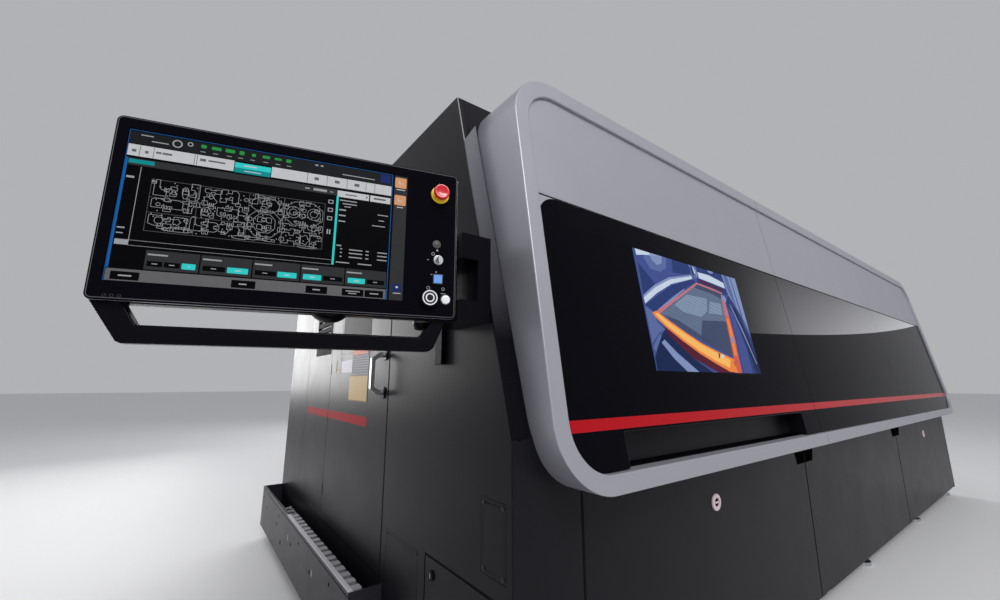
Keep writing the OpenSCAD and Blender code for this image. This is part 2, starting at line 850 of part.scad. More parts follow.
module side_hatch() {
    color(charcoal) difference() {
        union() {
            difference() {
                block([left, hatch_y0, hatch_z0], [left + door_t, hatch_y1, hatch_z1]);
                for (z = hatch_hinges) hinge_hatch(z) hinge_room();
            }
            for (z = hatch_hinges) hinge_hatch(z) hinge_knuckle();
        }
        translate([left - 1, hatch_y1 - 45, hatch_z1 - 45]) rotate([0, 90, 0])
            cylinder(r = lock_r + pin_gap, h = door_t + 2);
    }
}

module hatch_lock() {
    color(light) translate([left, hatch_y1 - 45, hatch_z1 - 45])
        rotate([0, 90, 0]) quarter_lock(18, 15);
}

// The hand notch that two neighbouring lower doors share, cut down from their top edges
module hand_notch(x) {
    along_y(front - 1, front + door_t + 1) polygon([[x - notch_low_w / 2, low_z1 - notch_h],
        [x + notch_low_w / 2, low_z1 - notch_h], [x + notch_w / 2, low_z1 + 1],
        [x - notch_w / 2, low_z1 + 1]]);
}

module lower_door(span) {
    difference() {
        union() {
            difference() {
                block([span[0], front, low_z0], [span[1], front + door_t, low_z1]);
                for (x = pair(span[0], span[1])) hinge_low(x) hinge_room();
            }
            for (x = pair(span[0], span[1])) hinge_low(x) hinge_knuckle();
        }
        for (x = [seam_1, seam_2]) hand_notch(x);
        children();
    }
}

lock_xs = [low_x0 + 718, seam_2 + 900];
module lock_hole(x) {
    translate([x, front - 1, lock_z]) rotate([-90, 0, 0])
        cylinder(r = lock_r + pin_gap, h = door_t + 2);
}
module lower_door_left() { color(charcoal) lower_door(low_spans[0]) lock_hole(lock_xs[0]); }
module lower_door_mid() { color(charcoal) lower_door(low_spans[1]); }
module lower_door_right() { color(charcoal) lower_door(low_spans[2]) lock_hole(lock_xs[1]); }
module door_lock_left() {
    color(light) translate([lock_xs[0], front, lock_z]) rotate([-90, 0, 0]) quarter_lock(40, door_lock_r);
}
module door_lock_right() {
    color(light) translate([lock_xs[1], front, lock_z]) rotate([-90, 0, 0]) quarter_lock(40, door_lock_r);
}

module rear_door() {
    color(charcoal) union() {
        difference() {
            block([rear_door_x0, back - door_t, rear_door_z0],
                [rear_door_x0 + rear_door_w, back, rear_door_z1]);
            for (z = rear_hinges) hinge_rear(z) hinge_room();
        }
        for (z = rear_hinges) hinge_rear(z) hinge_knuckle();
    }
}

module hinges() {
    color(steel) {
        for (s = low_spans, x = pair(s[0], s[1])) hinge_low(x) hinge_fixed();
        for (z = side_hinges) hinge_side(z) hinge_fixed();
        for (z = hatch_hinges) hinge_hatch(z) hinge_fixed();
        for (z = rear_hinges) hinge_rear(z) hinge_fixed();
        for (x = head_hinges) hinge_head(x) hinge_fixed();
    }
}

// ---- Cable tray beside the left wall ----

module side_tray() {
    x0 = left - tray_w;
    z1 = up(tray_h);
    t = 4;
    color(charcoal) difference() {
        union() {
            block([x0, tray_y0, floor_z], [x0 + t, tray_y1, z1]);
            block([x0, tray_y0, floor_z], [left, tray_y1, floor_z + t]);
            block([x0, tray_y0, z1 - t], [x0 + 16, tray_y1, z1]);
            block([x0, tray_y1 - t, floor_z], [left, tray_y1, z1]);
            block([x0, tray_y0, floor_z], [left, tray_y0 + t, z1]);
            // Shelf that carries the chain
            block([x0, tray_y0, z1 - 80], [x0 + 80, tray_y1, z1 - 76]);
        }
        for (y = [tray_y0 + 130 : 420 : tray_y1 - 100])
            translate([x0 - 1, y, z1 - 110]) rotate([0, 90, 0]) cylinder(r = 9, h = t + 2);
    }
}

// A run of cable chain: two smooth side bands joined by crossbars
module side_cable_chain() {
    x0 = left - tray_w + 22;
    z0 = up(tray_h) - 76;
    chain_w = 56;
    chain_h = 46;
    y0 = tray_y0 + 20;
    count = floor((tray_l - 560) / rib_pitch);
    len = count * rib_pitch;
    color(light) union() {
        for (x = [x0, x0 + chain_w - 8]) block([x, y0, z0], [x + 8, y0 + len, z0 + chain_h]);
        for (i = [0 : count - 1], z = [z0, z0 + chain_h - 8])
            block([x0, y0 + (i + 0.2) * rib_pitch, z],
                [x0 + chain_w, y0 + (i + 0.8) * rib_pitch, z + 8]);
    }
}

// ---- Bays ----

module laser_source() {
    y0 = pallet_y + beam_in + beam_w + 60;
    color(light) block([600, y0, frame_top_z], [1400, back - wall_t - 60, frame_top_z + 1250]);
}

module control_cabinet() {
    color(light) block([in_l + 70, side_y0 + 40, frame_top_z],
        [bed_x0 - 60, side_y1 - 60, frame_top_z + 1500]);
}

// ---- Gantry and head ----

module gantry_beam() {
    y0 = pallet_y - rail_y - gantry_over;
    y1 = pallet_y + rail_y + gantry_over;
    color(light) difference() {
        block([gantry_x, y0, gantry_z0], [gantry_x + gantry_w, y1, gantry_z0 + gantry_h]);
        block([gantry_x + 12, y0 - 1, gantry_z0 + 12],
            [gantry_x + gantry_w - 12, y1 + 1, gantry_z0 + gantry_h - 12]);
    }
}

module gantry_runners() {
    w = 90;
    color(steel) for (s = [-1, 1], e = [0, 1])
        translate([gantry_x + e * (gantry_w - runner_l + 60) - 30, pallet_y + s * rail_y - w / 2,
            bed_z + 4]) difference() {
            cube([runner_l, w, gantry_z0 - bed_z - 4]);
            translate([-1, w / 2 - rail_w / 2 - slide_gap, -1])
                cube([runner_l + 2, rail_w + 2 * slide_gap, rail_h - 4 + slide_gap + 1]);
        }
}

module head_carriage() {
    x0 = gantry_x + gantry_w + slide_gap;
    w = 240;
    color(dark) difference() {
        block([x0, head_y - w / 2, gantry_z0 - 40], [x0 + 50, head_y + w / 2, gantry_z0 + gantry_h + 60]);
        block([x0 + 20, head_y - 50 - slide_gap, gantry_z0 - 41],
            [x0 + 51, head_y + 50 + slide_gap, gantry_z0 + gantry_h + 61]);
    }
}

module cutting_head() {
    x0 = gantry_x + gantry_w + 20 + 2 * slide_gap;
    tip = pallet_z0 + pallet_rail + slat_h + 70;
    color(light) union() {
        block([x0, head_y - 50, tip + 110], [x0 + 44, head_y + 50, gantry_z0 + gantry_h + 40]);
        translate([x0 + 44 + head_r - 8, head_y, tip + 60])
            cylinder(r = head_r, h = gantry_z0 + gantry_h - tip - 80);
        translate([x0 + 44 + head_r - 8, head_y, tip]) cylinder(r = 26, h = 61);
    }
}

module nozzle() {
    x0 = gantry_x + gantry_w + 20 + 2 * slide_gap + 44 + head_r - 8;
    tip = pallet_z0 + pallet_rail + slat_h + 70;
    color([0.72, 0.45, 0.25]) translate([x0, head_y, tip - 30]) rotate_extrude()
        polygon([[1, 0], [4, 0], [14, 18], [14, 30], [1, 30]]);
}

// ---- Pallet ----

module pallet_frame() {
    y0 = pallet_y - pallet_w / 2;
    z0 = pallet_z0 + slide_gap;
    bar = 80;
    color(steel) difference() {
        block([pallet_x0, y0, z0], [pallet_x0 + pallet_l, y0 + pallet_w, z0 + pallet_rail]);
        for (i = [0, 1]) let (l = (pallet_l - 3 * bar) / 2)
            block([pallet_x0 + bar + i * (l + bar), y0 + bar, z0 - 1],
                [pallet_x0 + bar + i * (l + bar) + l, y0 + pallet_w - bar, z0 + pallet_rail + 1]);
    }
}

module pallet_slats() {
    y0 = pallet_y - pallet_w / 2 + 30;
    z0 = pallet_z0 + slide_gap + pallet_rail;
    step = (pallet_l - 80) / (slat_count - 1);
    color(steel) for (i = [0 : slat_count - 1])
        block([pallet_x0 + 38 + i * step, y0, z0],
            [pallet_x0 + 42 + i * step, y0 + pallet_w - 60, z0 + slat_h]);
}

// ---- Console ----

// Bracket on the left wall with the first pivot
module console_bracket() {
    z0 = arm_z0 - 60;
    z1 = arm_z0 + arm_h + 75;
    color(black) difference() {
        union() {
            block([left - 18, pivot_y - 100, z0 + 45], [left, pivot_y + 195, z1]);
            block([left - 18, pivot_y + 153, z0 - 107], [left, pivot_y + 195, z0 + 46]);
            block([pivot_x, pivot_y - 100, z0], [left, pivot_y + 100, z1]);
            translate([pivot_x, pivot_y, z0]) cylinder(r = 45, h = z1 - z0);
        }
        // Mouth that the arm turns in
        block([pivot_x - 46, pivot_y - 101, arm_z0 - arm_gap],
            [left - 45, pivot_y + 101, arm_z0 + arm_h + arm_gap]);
        translate([pivot_x, pivot_y, arm_z0]) arm_pin(pin_gap);
    }
}

// The pin through one end of the arm, standing out above and below it
module arm_pin(grow = 0) {
    translate([0, 0, -arm_pin_l - grow])
        cylinder(r = arm_pin_r + grow, h = arm_h + 2 * arm_pin_l + 2 * grow);
}

// Arm between the two pivots
module console_arm() {
    color(dark) union() {
        for (x = [pivot_x, pivot_x - arm_l]) translate([x, pivot_y, arm_z0]) {
            cylinder(r = arm_r, h = arm_h);
            arm_pin();
        }
        block([pivot_x - arm_l, pivot_y - 30, arm_z0 + 20],
            [pivot_x, pivot_y + 30, arm_z0 + arm_h - 20]);
    }
}

// Everything on the console sits in its own frame: middle of the front face, X along the
// front, Y into the console
module on_console() {
    turn = [cos(console_turn), sin(console_turn)];
    translate([pivot_x - arm_l - hub_x * turn[0] - hub_y * turn[1],
        pivot_y + hub_x * turn[1] - hub_y * turn[0], console_mid])
        rotate([0, 0, -console_turn]) children();
}

module console_outline(inset = 0) {
    r = console_r - inset;
    soft_rect(-console_w / 2 + inset, -console_h / 2 + inset, console_w / 2 - inset,
        console_h / 2 - inset, [r, r, r, r]);
}

// The holes that the controls pass through
module control_holes(grow) {
    for (p = [[button_x, stop_z, 8], [button_x, key_z, button_r], [reset_x, low_z, button_r],
        [dial_x, low_z, 8]])
        translate([p[0], p[1]]) circle(p[2] + grow);
    translate([button_x - 10 - grow, start_z - 10 - grow]) square(20 + 2 * grow);
}

module console_housing() {
    color(black) on_console() difference() {
        union() {
            along_y(bezel_t, console_d) console_outline(shell_in);
            // Two lugs that hold the arm's outer end
            for (z = [arm_h + arm_gap, -lug_h - arm_gap])
                translate([hub_x, hub_y, arm_z0 - console_mid + z]) {
                    cylinder(r = arm_r, h = lug_h);
                    translate([-arm_r, console_d - hub_y - 1, 0])
                        cube([2 * arm_r, hub_y - console_d + 1, lug_h]);
                }
        }
        translate([hub_x, hub_y, arm_z0 - console_mid]) arm_pin(pin_gap);
        along_y(bezel_t - 1, bezel_t + 40)
            translate([lcd_x0 - 4, lcd_z0 - 4]) square([lcd_l + 8, lcd_h + 8]);
        along_y(bezel_t - 1, bezel_t + 45)
            translate([button_x - 50, -console_h / 2 + 20]) square([85, console_h - 40]);
    }
}

module console_bezel() {
    color(black) on_console() along_y(0, bezel_t) difference() {
        console_outline();
        translate([lcd_x0, lcd_z0]) square([lcd_l, lcd_h]);
        control_holes(pin_gap);
    }
}

module console_screen() {
    color([0.15, 0.2, 0.25]) on_console()
        along_y(1, bezel_t + 30) translate([lcd_x0 + fit / 2, lcd_z0 + fit / 2])
            square([lcd_l - fit, lcd_h - fit]);
}

module console_handle() {
    low = shell_in - console_h / 2;
    drop = low - handle_drop;
    w = console_w / 2;
    color(black) on_console() along_y(16, 44) difference() {
        polygon([[-w, low], [-w + 51, drop], [-w + 60, drop - 4], [w - 58, drop - 4],
            [w - 46, drop + 6], [w - 17, low]]);
        polygon([[-w + 54, low - 6], [-w + 78, drop + 32], [w - 83, drop + 30],
            [w - 58, low - 16], [w - 58, low - 6]]);
    }
}

// A push button: a cap outside and a stem through the bezel
module push_button(cap_r, cap_h, stem_r) {
    rotate([-90, 0, 0]) union() {
        translate([0, 0, -cap_h - 8]) cylinder(r = cap_r, h = cap_h);
        translate([0, 0, -9]) cylinder(r = stem_r, h = 40);
    }
}

module stop_button() {
    color([0.8, 0.05, 0.08]) on_console() translate([button_x, 0, stop_z])
        push_button(20, 16, 8);
}
module key_switch() {
    color(light) on_console() translate([button_x, 0, key_z]) rotate([-90, 0, 0]) union() {
        translate([0, 0, -4]) cylinder(r = button_r, h = 30);
        translate([-2, -9, -14]) cube([4, 18, 11]);
    }
}
module start_button() {
    color([0.3, 0.55, 0.95]) on_console()
        translate([button_x - 10, -6, start_z - 10]) cube([20, 36, 20]);
}
module reset_button() {
    color(light) on_console() translate([reset_x, 0, low_z]) rotate([-90, 0, 0])
        translate([0, 0, -6]) cylinder(r = button_r, h = 36);
}
module feed_dial() {
    color(light) on_console() translate([dial_x, 0, low_z]) rotate([-90, 0, 0]) union() {
        translate([0, 0, -16]) cylinder(r = dial_r, h = 15.5);
        translate([0, 0, -1]) cylinder(r = 8, h = 30);
    }
}

base_frame();
levelling_feet();
bed();
x_rails();
chamber_walls();
left_wall();
left_rear_panel();
side_covers();
cover_screws();
right_wall();
rear_wall();
roof_panels();
front_frame();
fascia_frame();
fascia_side_trims();
upper_panel_left();
upper_panel_mid();
upper_panel_right();
glass_mid();
glass_right();
side_tray();
side_cable_chain();
hinges();
laser_source();
control_cabinet();
service_plate();
console_bracket();
scrap_bins();
gantry_beam();
gantry_runners();
head_carriage();
cutting_head();
nozzle();
pallet_frame();
pallet_slats();
front_door_glass();
front_door_frame();
grip_tray();
front_display();
side_door();
side_door_grip();
side_door_lock();
side_hatch();
hatch_lock();
lower_door_left();
lower_door_mid();
lower_door_right();
door_lock_left();
door_lock_right();
rear_door();
console_arm();
console_housing();
console_bezel();
console_screen();
console_handle();
stop_button();
key_switch();
start_button();
reset_button();
feed_dial();
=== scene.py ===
# %% [markdown]
# # Fiber laser cutting machine
# The machine is a long cabinet with a tilted, framed fascia, a swinging control console on its
# left end and a cable tray at its foot. The load-bearing shapes come ready made from the CAD
# frame. This lesson gives them their finishes and adds what CAD leaves out: softened edges,
# printed glass, display pictures, buttons, blank plates and small hardware.

# %% Load the frame
import contextlib
import json
import math

import bmesh
import bpy
from mathutils import Matrix, Vector


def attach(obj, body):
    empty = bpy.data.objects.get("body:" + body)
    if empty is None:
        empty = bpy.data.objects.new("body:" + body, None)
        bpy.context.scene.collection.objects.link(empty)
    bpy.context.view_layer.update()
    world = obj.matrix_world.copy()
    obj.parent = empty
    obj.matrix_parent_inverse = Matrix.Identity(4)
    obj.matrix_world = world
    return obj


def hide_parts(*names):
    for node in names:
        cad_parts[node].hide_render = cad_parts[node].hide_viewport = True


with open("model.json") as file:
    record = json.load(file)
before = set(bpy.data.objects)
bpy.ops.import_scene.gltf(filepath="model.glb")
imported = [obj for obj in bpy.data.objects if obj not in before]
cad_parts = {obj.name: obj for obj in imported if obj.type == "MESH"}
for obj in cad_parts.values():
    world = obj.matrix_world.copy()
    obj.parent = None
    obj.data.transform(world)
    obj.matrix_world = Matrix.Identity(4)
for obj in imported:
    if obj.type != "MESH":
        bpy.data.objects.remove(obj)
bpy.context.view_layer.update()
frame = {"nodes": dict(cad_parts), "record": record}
scene = bpy.context.scene
nodes = frame["nodes"]
joints = {joint["name"]: joint for joint in frame["record"]["behaviour"]["joints"]}
body_of = {node: body for body, held in frame["record"]["behaviour"]["bodies"].items()
           for node in held}

# %% [markdown]
# ## Camera
# The machine is seen from close by, at chest height, with a wide lens that looks a little up.
# That is what makes the long fascia run away so steeply to the right.

# %% Camera
EYE = Vector((-3.448, -2.277, 1.080))
YAW, PITCH = math.radians(36.514), math.radians(11.144)
LENS_MM, SENSOR_MM = 15.1, 36

camera_data = bpy.data.cameras.new("camera")
camera_data.lens = LENS_MM
camera_data.sensor_width = SENSOR_MM
camera_data.clip_start, camera_data.clip_end = 0.05, 200
camera = bpy.data.objects.new("camera", camera_data)
scene.collection.objects.link(camera)
gaze = Vector((math.sin(YAW) * math.cos(PITCH), math.cos(YAW) * math.cos(PITCH), math.sin(PITCH)))
camera.location = EYE
camera.rotation_euler = gaze.to_track_quat("-Z", "Y").to_euler()
scene.camera = camera
print("camera looks along", tuple(round(v, 3) for v in gaze))

# %% [markdown]
# ## Stage and light
# A pale floor runs out to a pale horizon. The light is a studio's: a soft dome and four large
# soft boxes. Dark gloss paint shows what stands round it, so the boxes are placed where their
# reflections draw the edges of the frame and the fall of light along the doors.

# %% Floor and sky
bpy.ops.mesh.primitive_plane_add(size=120, location=(0, 0, 0))
floor = bpy.context.object
floor.name = "studio_floor"
floor_paint = bpy.data.materials.new("studio_floor")
floor_paint.use_nodes = True
floor_shader = floor_paint.node_tree.nodes["Principled BSDF"]
floor_shader.inputs["Base Color"].default_value = (0.72, 0.72, 0.73, 1)
floor_shader.inputs["Roughness"].default_value = 0.6
floor.data.materials.append(floor_paint)

world = bpy.data.worlds.new("studio")
scene.world = world
world.use_nodes = True
sky = world.node_tree.nodes["Background"]
sky.inputs["Color"].default_value = (0.80, 0.81, 0.84, 1)
sky.inputs["Strength"].default_value = 0.55
scene.view_settings.view_transform = "Standard"
print("floor and sky done")

# %% Lamps
# Each lamp: its place, what it shines on, its size, its power in watts and its beam in degrees.
soft_boxes = {
    "key_light": ((-3.0, -7.5, 7.0), (0.3, -1.3, 1.2), (6.0, 3.0), 560, 180),
    "side_light": ((-7.5, 1.5, 6.5), (-2.8, 0.2, 1.3), (6.0, 4.0), 70, 180),
    "low_light": ((-4.6, 7.5, 2.2), (-2.8, 0.4, 1.2), (3.0, 2.6), 26, 70),
    "rear_light": ((3.0, 7.0, 5.5), (0.5, 1.4, 1.0), (7.0, 3.0), 300, 180),
}
for name, (place, target, size, power, beam) in soft_boxes.items():
    lamp = bpy.data.lights.new(name, "AREA")
    lamp.shape = "RECTANGLE"
    lamp.size, lamp.size_y = size
    lamp.energy = power
    lamp.spread = math.radians(beam)
    holder = bpy.data.objects.new(name, lamp)
    holder.location = place
    holder.rotation_euler = (Vector(target) - Vector(place)).to_track_quat("-Z", "Y").to_euler()
    scene.collection.objects.link(holder)
print("lamps:", len(soft_boxes))

# %% [markdown]
# ## Finishes
# Sheet metal is sprayed with satin paint. Sprayed paint is never quite even: its tone drifts
# over a panel, and close up it has the fine ripple called orange peel. Both come from noise in
# Object coordinates, so they have their real size on every panel.

# %% Node helpers
def fill_in(tree, node, **inputs):
    """Set a node's inputs, or link them where the value is a socket. A space is written _."""
    for name, value in inputs.items():
        socket = node.inputs[name.replace("_", " ")]
        if isinstance(value, bpy.types.NodeSocket):
            tree.links.new(value, socket)
        else:
            socket.default_value = value
    return node


def add_node(tree, kind, **inputs):
    return fill_in(tree, tree.nodes.new("ShaderNode" + kind), **inputs)


def start_material(name, roughness, metallic=0.0, ior=1.5):
    """A new material with its tree, its shader and the coordinates that all patterns use."""
    material = bpy.data.materials.new(name)
    material.use_nodes = True
    tree = material.node_tree
    shader = fill_in(tree, tree.nodes["Principled BSDF"], Metallic=metallic,
                     Roughness=roughness, IOR=ior)
    return material, tree, shader, add_node(tree, "TexCoord").outputs["Object"]


def noise(tree, place, scale, detail=2.0, stretch=None):
    """Grey noise of about 1/scale metres, longer along an axis where stretch is under 1."""
    if stretch:
        place = add_node(tree, "Mapping", Vector=place, Scale=stretch).outputs["Vector"]
    return add_node(tree, "TexNoise", Vector=place, Scale=scale, Detail=detail).outputs["Fac"]


def remap(tree, value, start, end, low=0.0, high=1.0):
    """A value that runs from start to end, made to run from low to high and held there."""
    return add_node(tree, "MapRange", Value=value, From_Min=start, From_Max=end, To_Min=low,
                    To_Max=high).outputs["Result"]


def spread(tree, value, low=0.0, high=1.0):
    """Noise, which lies mostly between 0.3 and 0.7, spread over low to high."""
    return remap(tree, value, 0.3, 0.7, low, high)


def blend_colours(tree, factor, first, second):
    """First colour where factor is 0, second where it is 1. Each is a colour or a socket."""
    node = tree.nodes.new("ShaderNodeMix")
    node.data_type = "RGBA"
    tree.links.new(factor, node.inputs["Factor"])
    for socket, colour in ((node.inputs[6], first), (node.inputs[7], second)):
        if isinstance(colour, tuple):
            socket.default_value = (*colour, 1)
        else:
            tree.links.new(colour, socket)
    return node.outputs[2]


def drifting(tree, factor, colour, low, high):
    """A colour that is low times as bright where factor is 0 and high times where it is 1."""
    dark, light = (tuple(min(1.0, c * scale) for c in colour) for scale in (low, high))
    return blend_colours(tree, factor, dark, light)


def ripple(tree, shader, height, depth):
    """Bump of a real depth in metres."""
    bump = add_node(tree, "Bump", Height=height, Distance=depth, Strength=1.0)
    fill_in(tree, shader, Normal=bump.outputs["Normal"])


print("node helpers: noise, remap, spread, blend_colours, drifting, ripple")

# %% Kinds of finish
# How fine each pattern is, in noise cells per metre.
DRIFT_SCALE, GLOSS_SCALE, PEEL_SCALE, BRUSH_SCALE, GRAIN_SCALE = 0.9, 6, 260, 700, 90


def paint(name, colour, roughness, drift=0.03, peel=0.00001, metallic=0.0, coat=0.0, ior=1.45):
    """Sprayed paint: slow drift of tone, uneven gloss and orange peel."""
    material, tree, shader, place = start_material(name, roughness, metallic, ior)
    tone = spread(tree, noise(tree, place, DRIFT_SCALE, 3))
    gloss = spread(tree, noise(tree, place, GLOSS_SCALE, 4), roughness - 0.02, roughness + 0.02)
    fill_in(tree, shader, Base_Color=drifting(tree, tone, colour, 1 - drift, 1 + drift),
            Roughness=gloss, Coat_Weight=coat, Coat_Roughness=0.12)
    ripple(tree, shader, noise(tree, place, PEEL_SCALE), peel)
    return material


def paint_with_painted_light(name, low, high, z_low, z_high):
    """Sprayed paint with painted light from above: over a height its colour runs from the colour
    low to the colour high, lighter towards the top.
    """
    material = paint(name, low, 0.42, 0.02, ior=1.12)
    tree = material.node_tree
    place = add_node(tree, "TexCoord").outputs["Object"]
    z = add_node(tree, "SeparateXYZ", Vector=place).outputs["Z"]
    fade = blend_colours(tree, remap(tree, z, z_low, z_high), low, high)
    fill_in(tree, tree.nodes["Principled BSDF"], Base_Color=fade)
    return material


def brushed(name, colour, roughness, along):
    """Ground or extruded metal: fine lines that run along one axis."""
    material, tree, shader, place = start_material(name, roughness, 1.0)
    stretch = {"X": (0.02, 1, 1), "Y": (1, 0.02, 1), "Z": (1, 1, 0.02)}[along]
    lines = noise(tree, place, BRUSH_SCALE, 3, stretch)
    fill_in(tree, shader, Base_Color=drifting(tree, spread(tree, lines), colour, 0.86, 1.06),
            Roughness=spread(tree, lines, roughness - 0.06, roughness + 0.08))
    ripple(tree, shader, lines, 0.00002)
    return material


def lit(name, colour, glow=0.65):
    """A part of a lit screen: glow is the share of its colour that it gives off itself."""
    material, tree, shader, place = start_material(name, 0.3, ior=1.1)
    grain = spread(tree, noise(tree, place, GRAIN_SCALE))
    fill_in(tree, shader, Emission_Color=drifting(tree, grain, colour, 0.94, 1.06),
            Base_Color=(*(c * (1 - glow) for c in colour), 1), Emission_Strength=glow)
    return material


print("kinds of finish: paint, paint_with_painted_light, brushed, lit")

# %% Paints and metals
# Each paint: its colour, its roughness and whatever else differs from plain sprayed paint.
CHARCOAL = (0.006, 0.006, 0.0085)
BLACK = (0.003, 0.003, 0.005)
paints = {
    "silver_paint": ((0.370, 0.373, 0.415), 0.40, {"drift": 0.015, "metallic": 0.5}),
    "charcoal_paint": (CHARCOAL, 0.36, {"ior": 1.22}),
    "inner_paint": ((0.016, 0.016, 0.019), 0.5, {}),
    # The grey of the bezel's rim is a painted highlight.
    "rim_highlight_grey": ((0.10, 0.10, 0.11), 0.4, {"ior": 1.2}),
    "tray_paint": ((0.020, 0.020, 0.026), 0.4, {"ior": 1.3}),
    "black_coat": (BLACK, 0.26, {"drift": 0.1, "peel": 0.000006, "ior": 1.16}),
    "black_gloss": (BLACK, 0.10, {"drift": 0.1, "peel": 0.000002, "ior": 1.07}),
    "chain_plastic": ((0.28, 0.28, 0.30), 0.42, {}),
    "rail_plastic": ((0.50, 0.49, 0.53), 0.40, {"drift": 0.08}),
    "belly_plastic": ((0.085, 0.085, 0.095), 0.45, {"drift": 0.08}),
    "grey_paint": ((0.42, 0.43, 0.43), 0.45, {}),
    "machine_paint": ((0.19, 0.20, 0.21), 0.5, {"drift": 0.1, "peel": 0.00006}),
    "red_plastic": ((0.58, 0.01, 0.02), 0.22, {"drift": 0.04, "peel": 0.000004, "coat": 0.5}),
    "yellow_plastic": ((0.85, 0.55, 0.02), 0.3, {"drift": 0.04}),
    "white_plastic": ((0.78, 0.79, 0.82), 0.28, {"peel": 0.000004, "coat": 0.4}),
    "stripe_red": ((0.38, 0.005, 0.010), 0.22, {"drift": 0.02, "peel": 0.000002, "ior": 1.2}),
    "collar_black": ((0.012, 0.012, 0.014), 0.34, {"drift": 0.05, "ior": 1.35}),
    "mark_pale": ((0.30, 0.31, 0.33), 0.4, {"drift": 0.05}),
    "mark_dim": ((0.06, 0.06, 0.066), 0.4, {"drift": 0.05}),
    "mark_faint": ((0.022, 0.022, 0.026), 0.4, {"drift": 0.05}),
    "vent_black": ((0.004, 0.004, 0.005), 0.6, {"drift": 0.04, "ior": 1.10}),
    # The near-black of painted shade, in the tray's holes and under its lip.
    "painted_shade_black": ((0.0008, 0.0008, 0.001), 0.8, {"drift": 0.04, "ior": 1.03}),
    "pane_dark": ((0.009, 0.009, 0.012), 0.45, {"drift": 0.04, "ior": 1.12}),
    "lock_ring": ((0.60, 0.47, 0.50), 0.35, {"drift": 0.04}),
}
plate_colours = {
    "plate_tan": (0.50, 0.33, 0.13), "plate_tan_edge": (0.16, 0.10, 0.05),
    "plate_grey": (0.10, 0.10, 0.115), "plate_lines": (0.25, 0.25, 0.28),
    "plate_white": (0.58, 0.55, 0.62), "plate_orange": (0.62, 0.16, 0.07),
    "plate_amber": (0.42, 0.24, 0.08),
}
metals = {
    "zinc": ((0.52, 0.53, 0.56), 0.34, "Z"),
    "ground_steel": ((0.56, 0.56, 0.58), 0.28, "X"),
    "slat_steel": ((0.42, 0.40, 0.39), 0.42, "Y"),
    "aluminium": ((0.70, 0.71, 0.74), 0.30, "Y"),
    "copper": ((0.72, 0.36, 0.20), 0.22, "Z"),
}
finishes = {name: paint(name, colour, roughness, **more)
            for name, (colour, roughness, more) in paints.items()}
finishes |= {name: paint(name, colour, 0.45, 0.04, 0.000004, ior=1.25)
             for name, colour in plate_colours.items()}
finishes |= {name: brushed(name, *settings) for name, settings in metals.items()}
# The side trims get painted light: grey at the top, where light from above falls, and black at the
# foot.
finishes["trim_painted_light"] = paint_with_painted_light("trim_painted_light", (0.004, 0.004, 0.006), (0.150, 0.150, 0.172),
                                     1.20, 1.86)
# The wall's fold gets a painted highlight: a light line that grows towards the top.
finishes["fold_painted_highlight"] = paint_with_painted_light("fold_painted_highlight", CHARCOAL, (0.28, 0.28, 0.31), 1.50, 1.78)
print("finishes:", ", ".join(finishes))

# %% [markdown]
# ## Give each CAD node its finish
# A node's own shape stays; only what fills its material slots changes.

# %% Finishes by node
wearing = {
    "silver_paint": ["fascia_frame", "upper_panel_left", "upper_panel_mid",
                     "upper_panel_right"],
    "trim_painted_light": ["fascia_side_trims"],
    "charcoal_paint": ["left_wall", "left_rear_panel", "side_covers", "right_wall", "rear_wall",
                       "roof_panels", "side_door", "side_hatch", "lower_door_left",
                       "lower_door_mid", "lower_door_right", "rear_door", "base_frame",
                       "front_frame", "grip_tray"],
    "inner_paint": ["chamber_walls", "console_arm", "head_carriage", "hinges", "cover_screws"],
    "tray_paint": ["side_tray"],
    "belly_plastic": ["side_cable_chain"],
    "black_coat": ["console_bracket", "console_housing", "console_handle", "side_door_lock",
                   "hatch_lock"],
    "black_gloss": ["console_bezel", "front_door_frame", "front_door_glass", "glass_mid",
                    "glass_right", "front_display", "console_screen"],
    "zinc": ["levelling_feet", "service_plate", "door_lock_left", "door_lock_right",
             "key_switch"],
    "machine_paint": ["bed", "pallet_frame", "gantry_runners"],
    "ground_steel": ["x_rails"],
    "slat_steel": ["pallet_slats"],
    "aluminium": ["gantry_beam", "side_door_grip", "cutting_head"],
    "grey_paint": ["laser_source", "control_cabinet", "scrap_bins"],
    "copper": ["nozzle"],
    "red_plastic": ["stop_button"],
    "white_plastic": ["start_button", "reset_button", "feed_dial"],
}


def wear(thing, finish):
    """Put one finish in every slot of an object."""
    if not thing.data.materials:
        thing.data.materials.append(finishes[finish])
    for index in range(len(thing.data.materials)):
        thing.data.materials[index] = finishes[finish]


for finish, names in wearing.items():
    for name in names:
        wear(nodes[name], finish)
dressed = {name for names in wearing.values() for name in names}
print("without a finish:", sorted(set(nodes) - dressed))

# %% [markdown]
# ## Ways of working
# A few helpers serve every new piece. `editing` opens edit mode on one object alone, because an
# operator acts on all that is selected. `settle` moves a mesh that was shaped flat at the
# origin into its place on the machine and leaves the object itself unturned and unscaled.
# `soften` rounds the sharp edges of a CAD shape: it works on a copy, and the copy stands for
# the node.

# %% Choosing, editing and placing
def start_clean():
    """Leave edit mode and select nothing."""
    if bpy.context.object and bpy.context.object.mode != "OBJECT":
        bpy.ops.object.mode_set(mode="OBJECT")
    bpy.ops.object.select_all(action="DESELECT")


def choose(thing):
    """Make one object the only selected and active one."""
    start_clean()
    thing.select_set(True)
    bpy.context.view_layer.objects.active = thing
    return thing


@contextlib.contextmanager
def editing(thing):
    """Edit mode on one object, with its whole mesh selected."""
    choose(thing)
    bpy.ops.object.mode_set(mode="EDIT")
    bpy.ops.mesh.select_all(action="SELECT")
    yield
    bpy.ops.object.mode_set(mode="OBJECT")


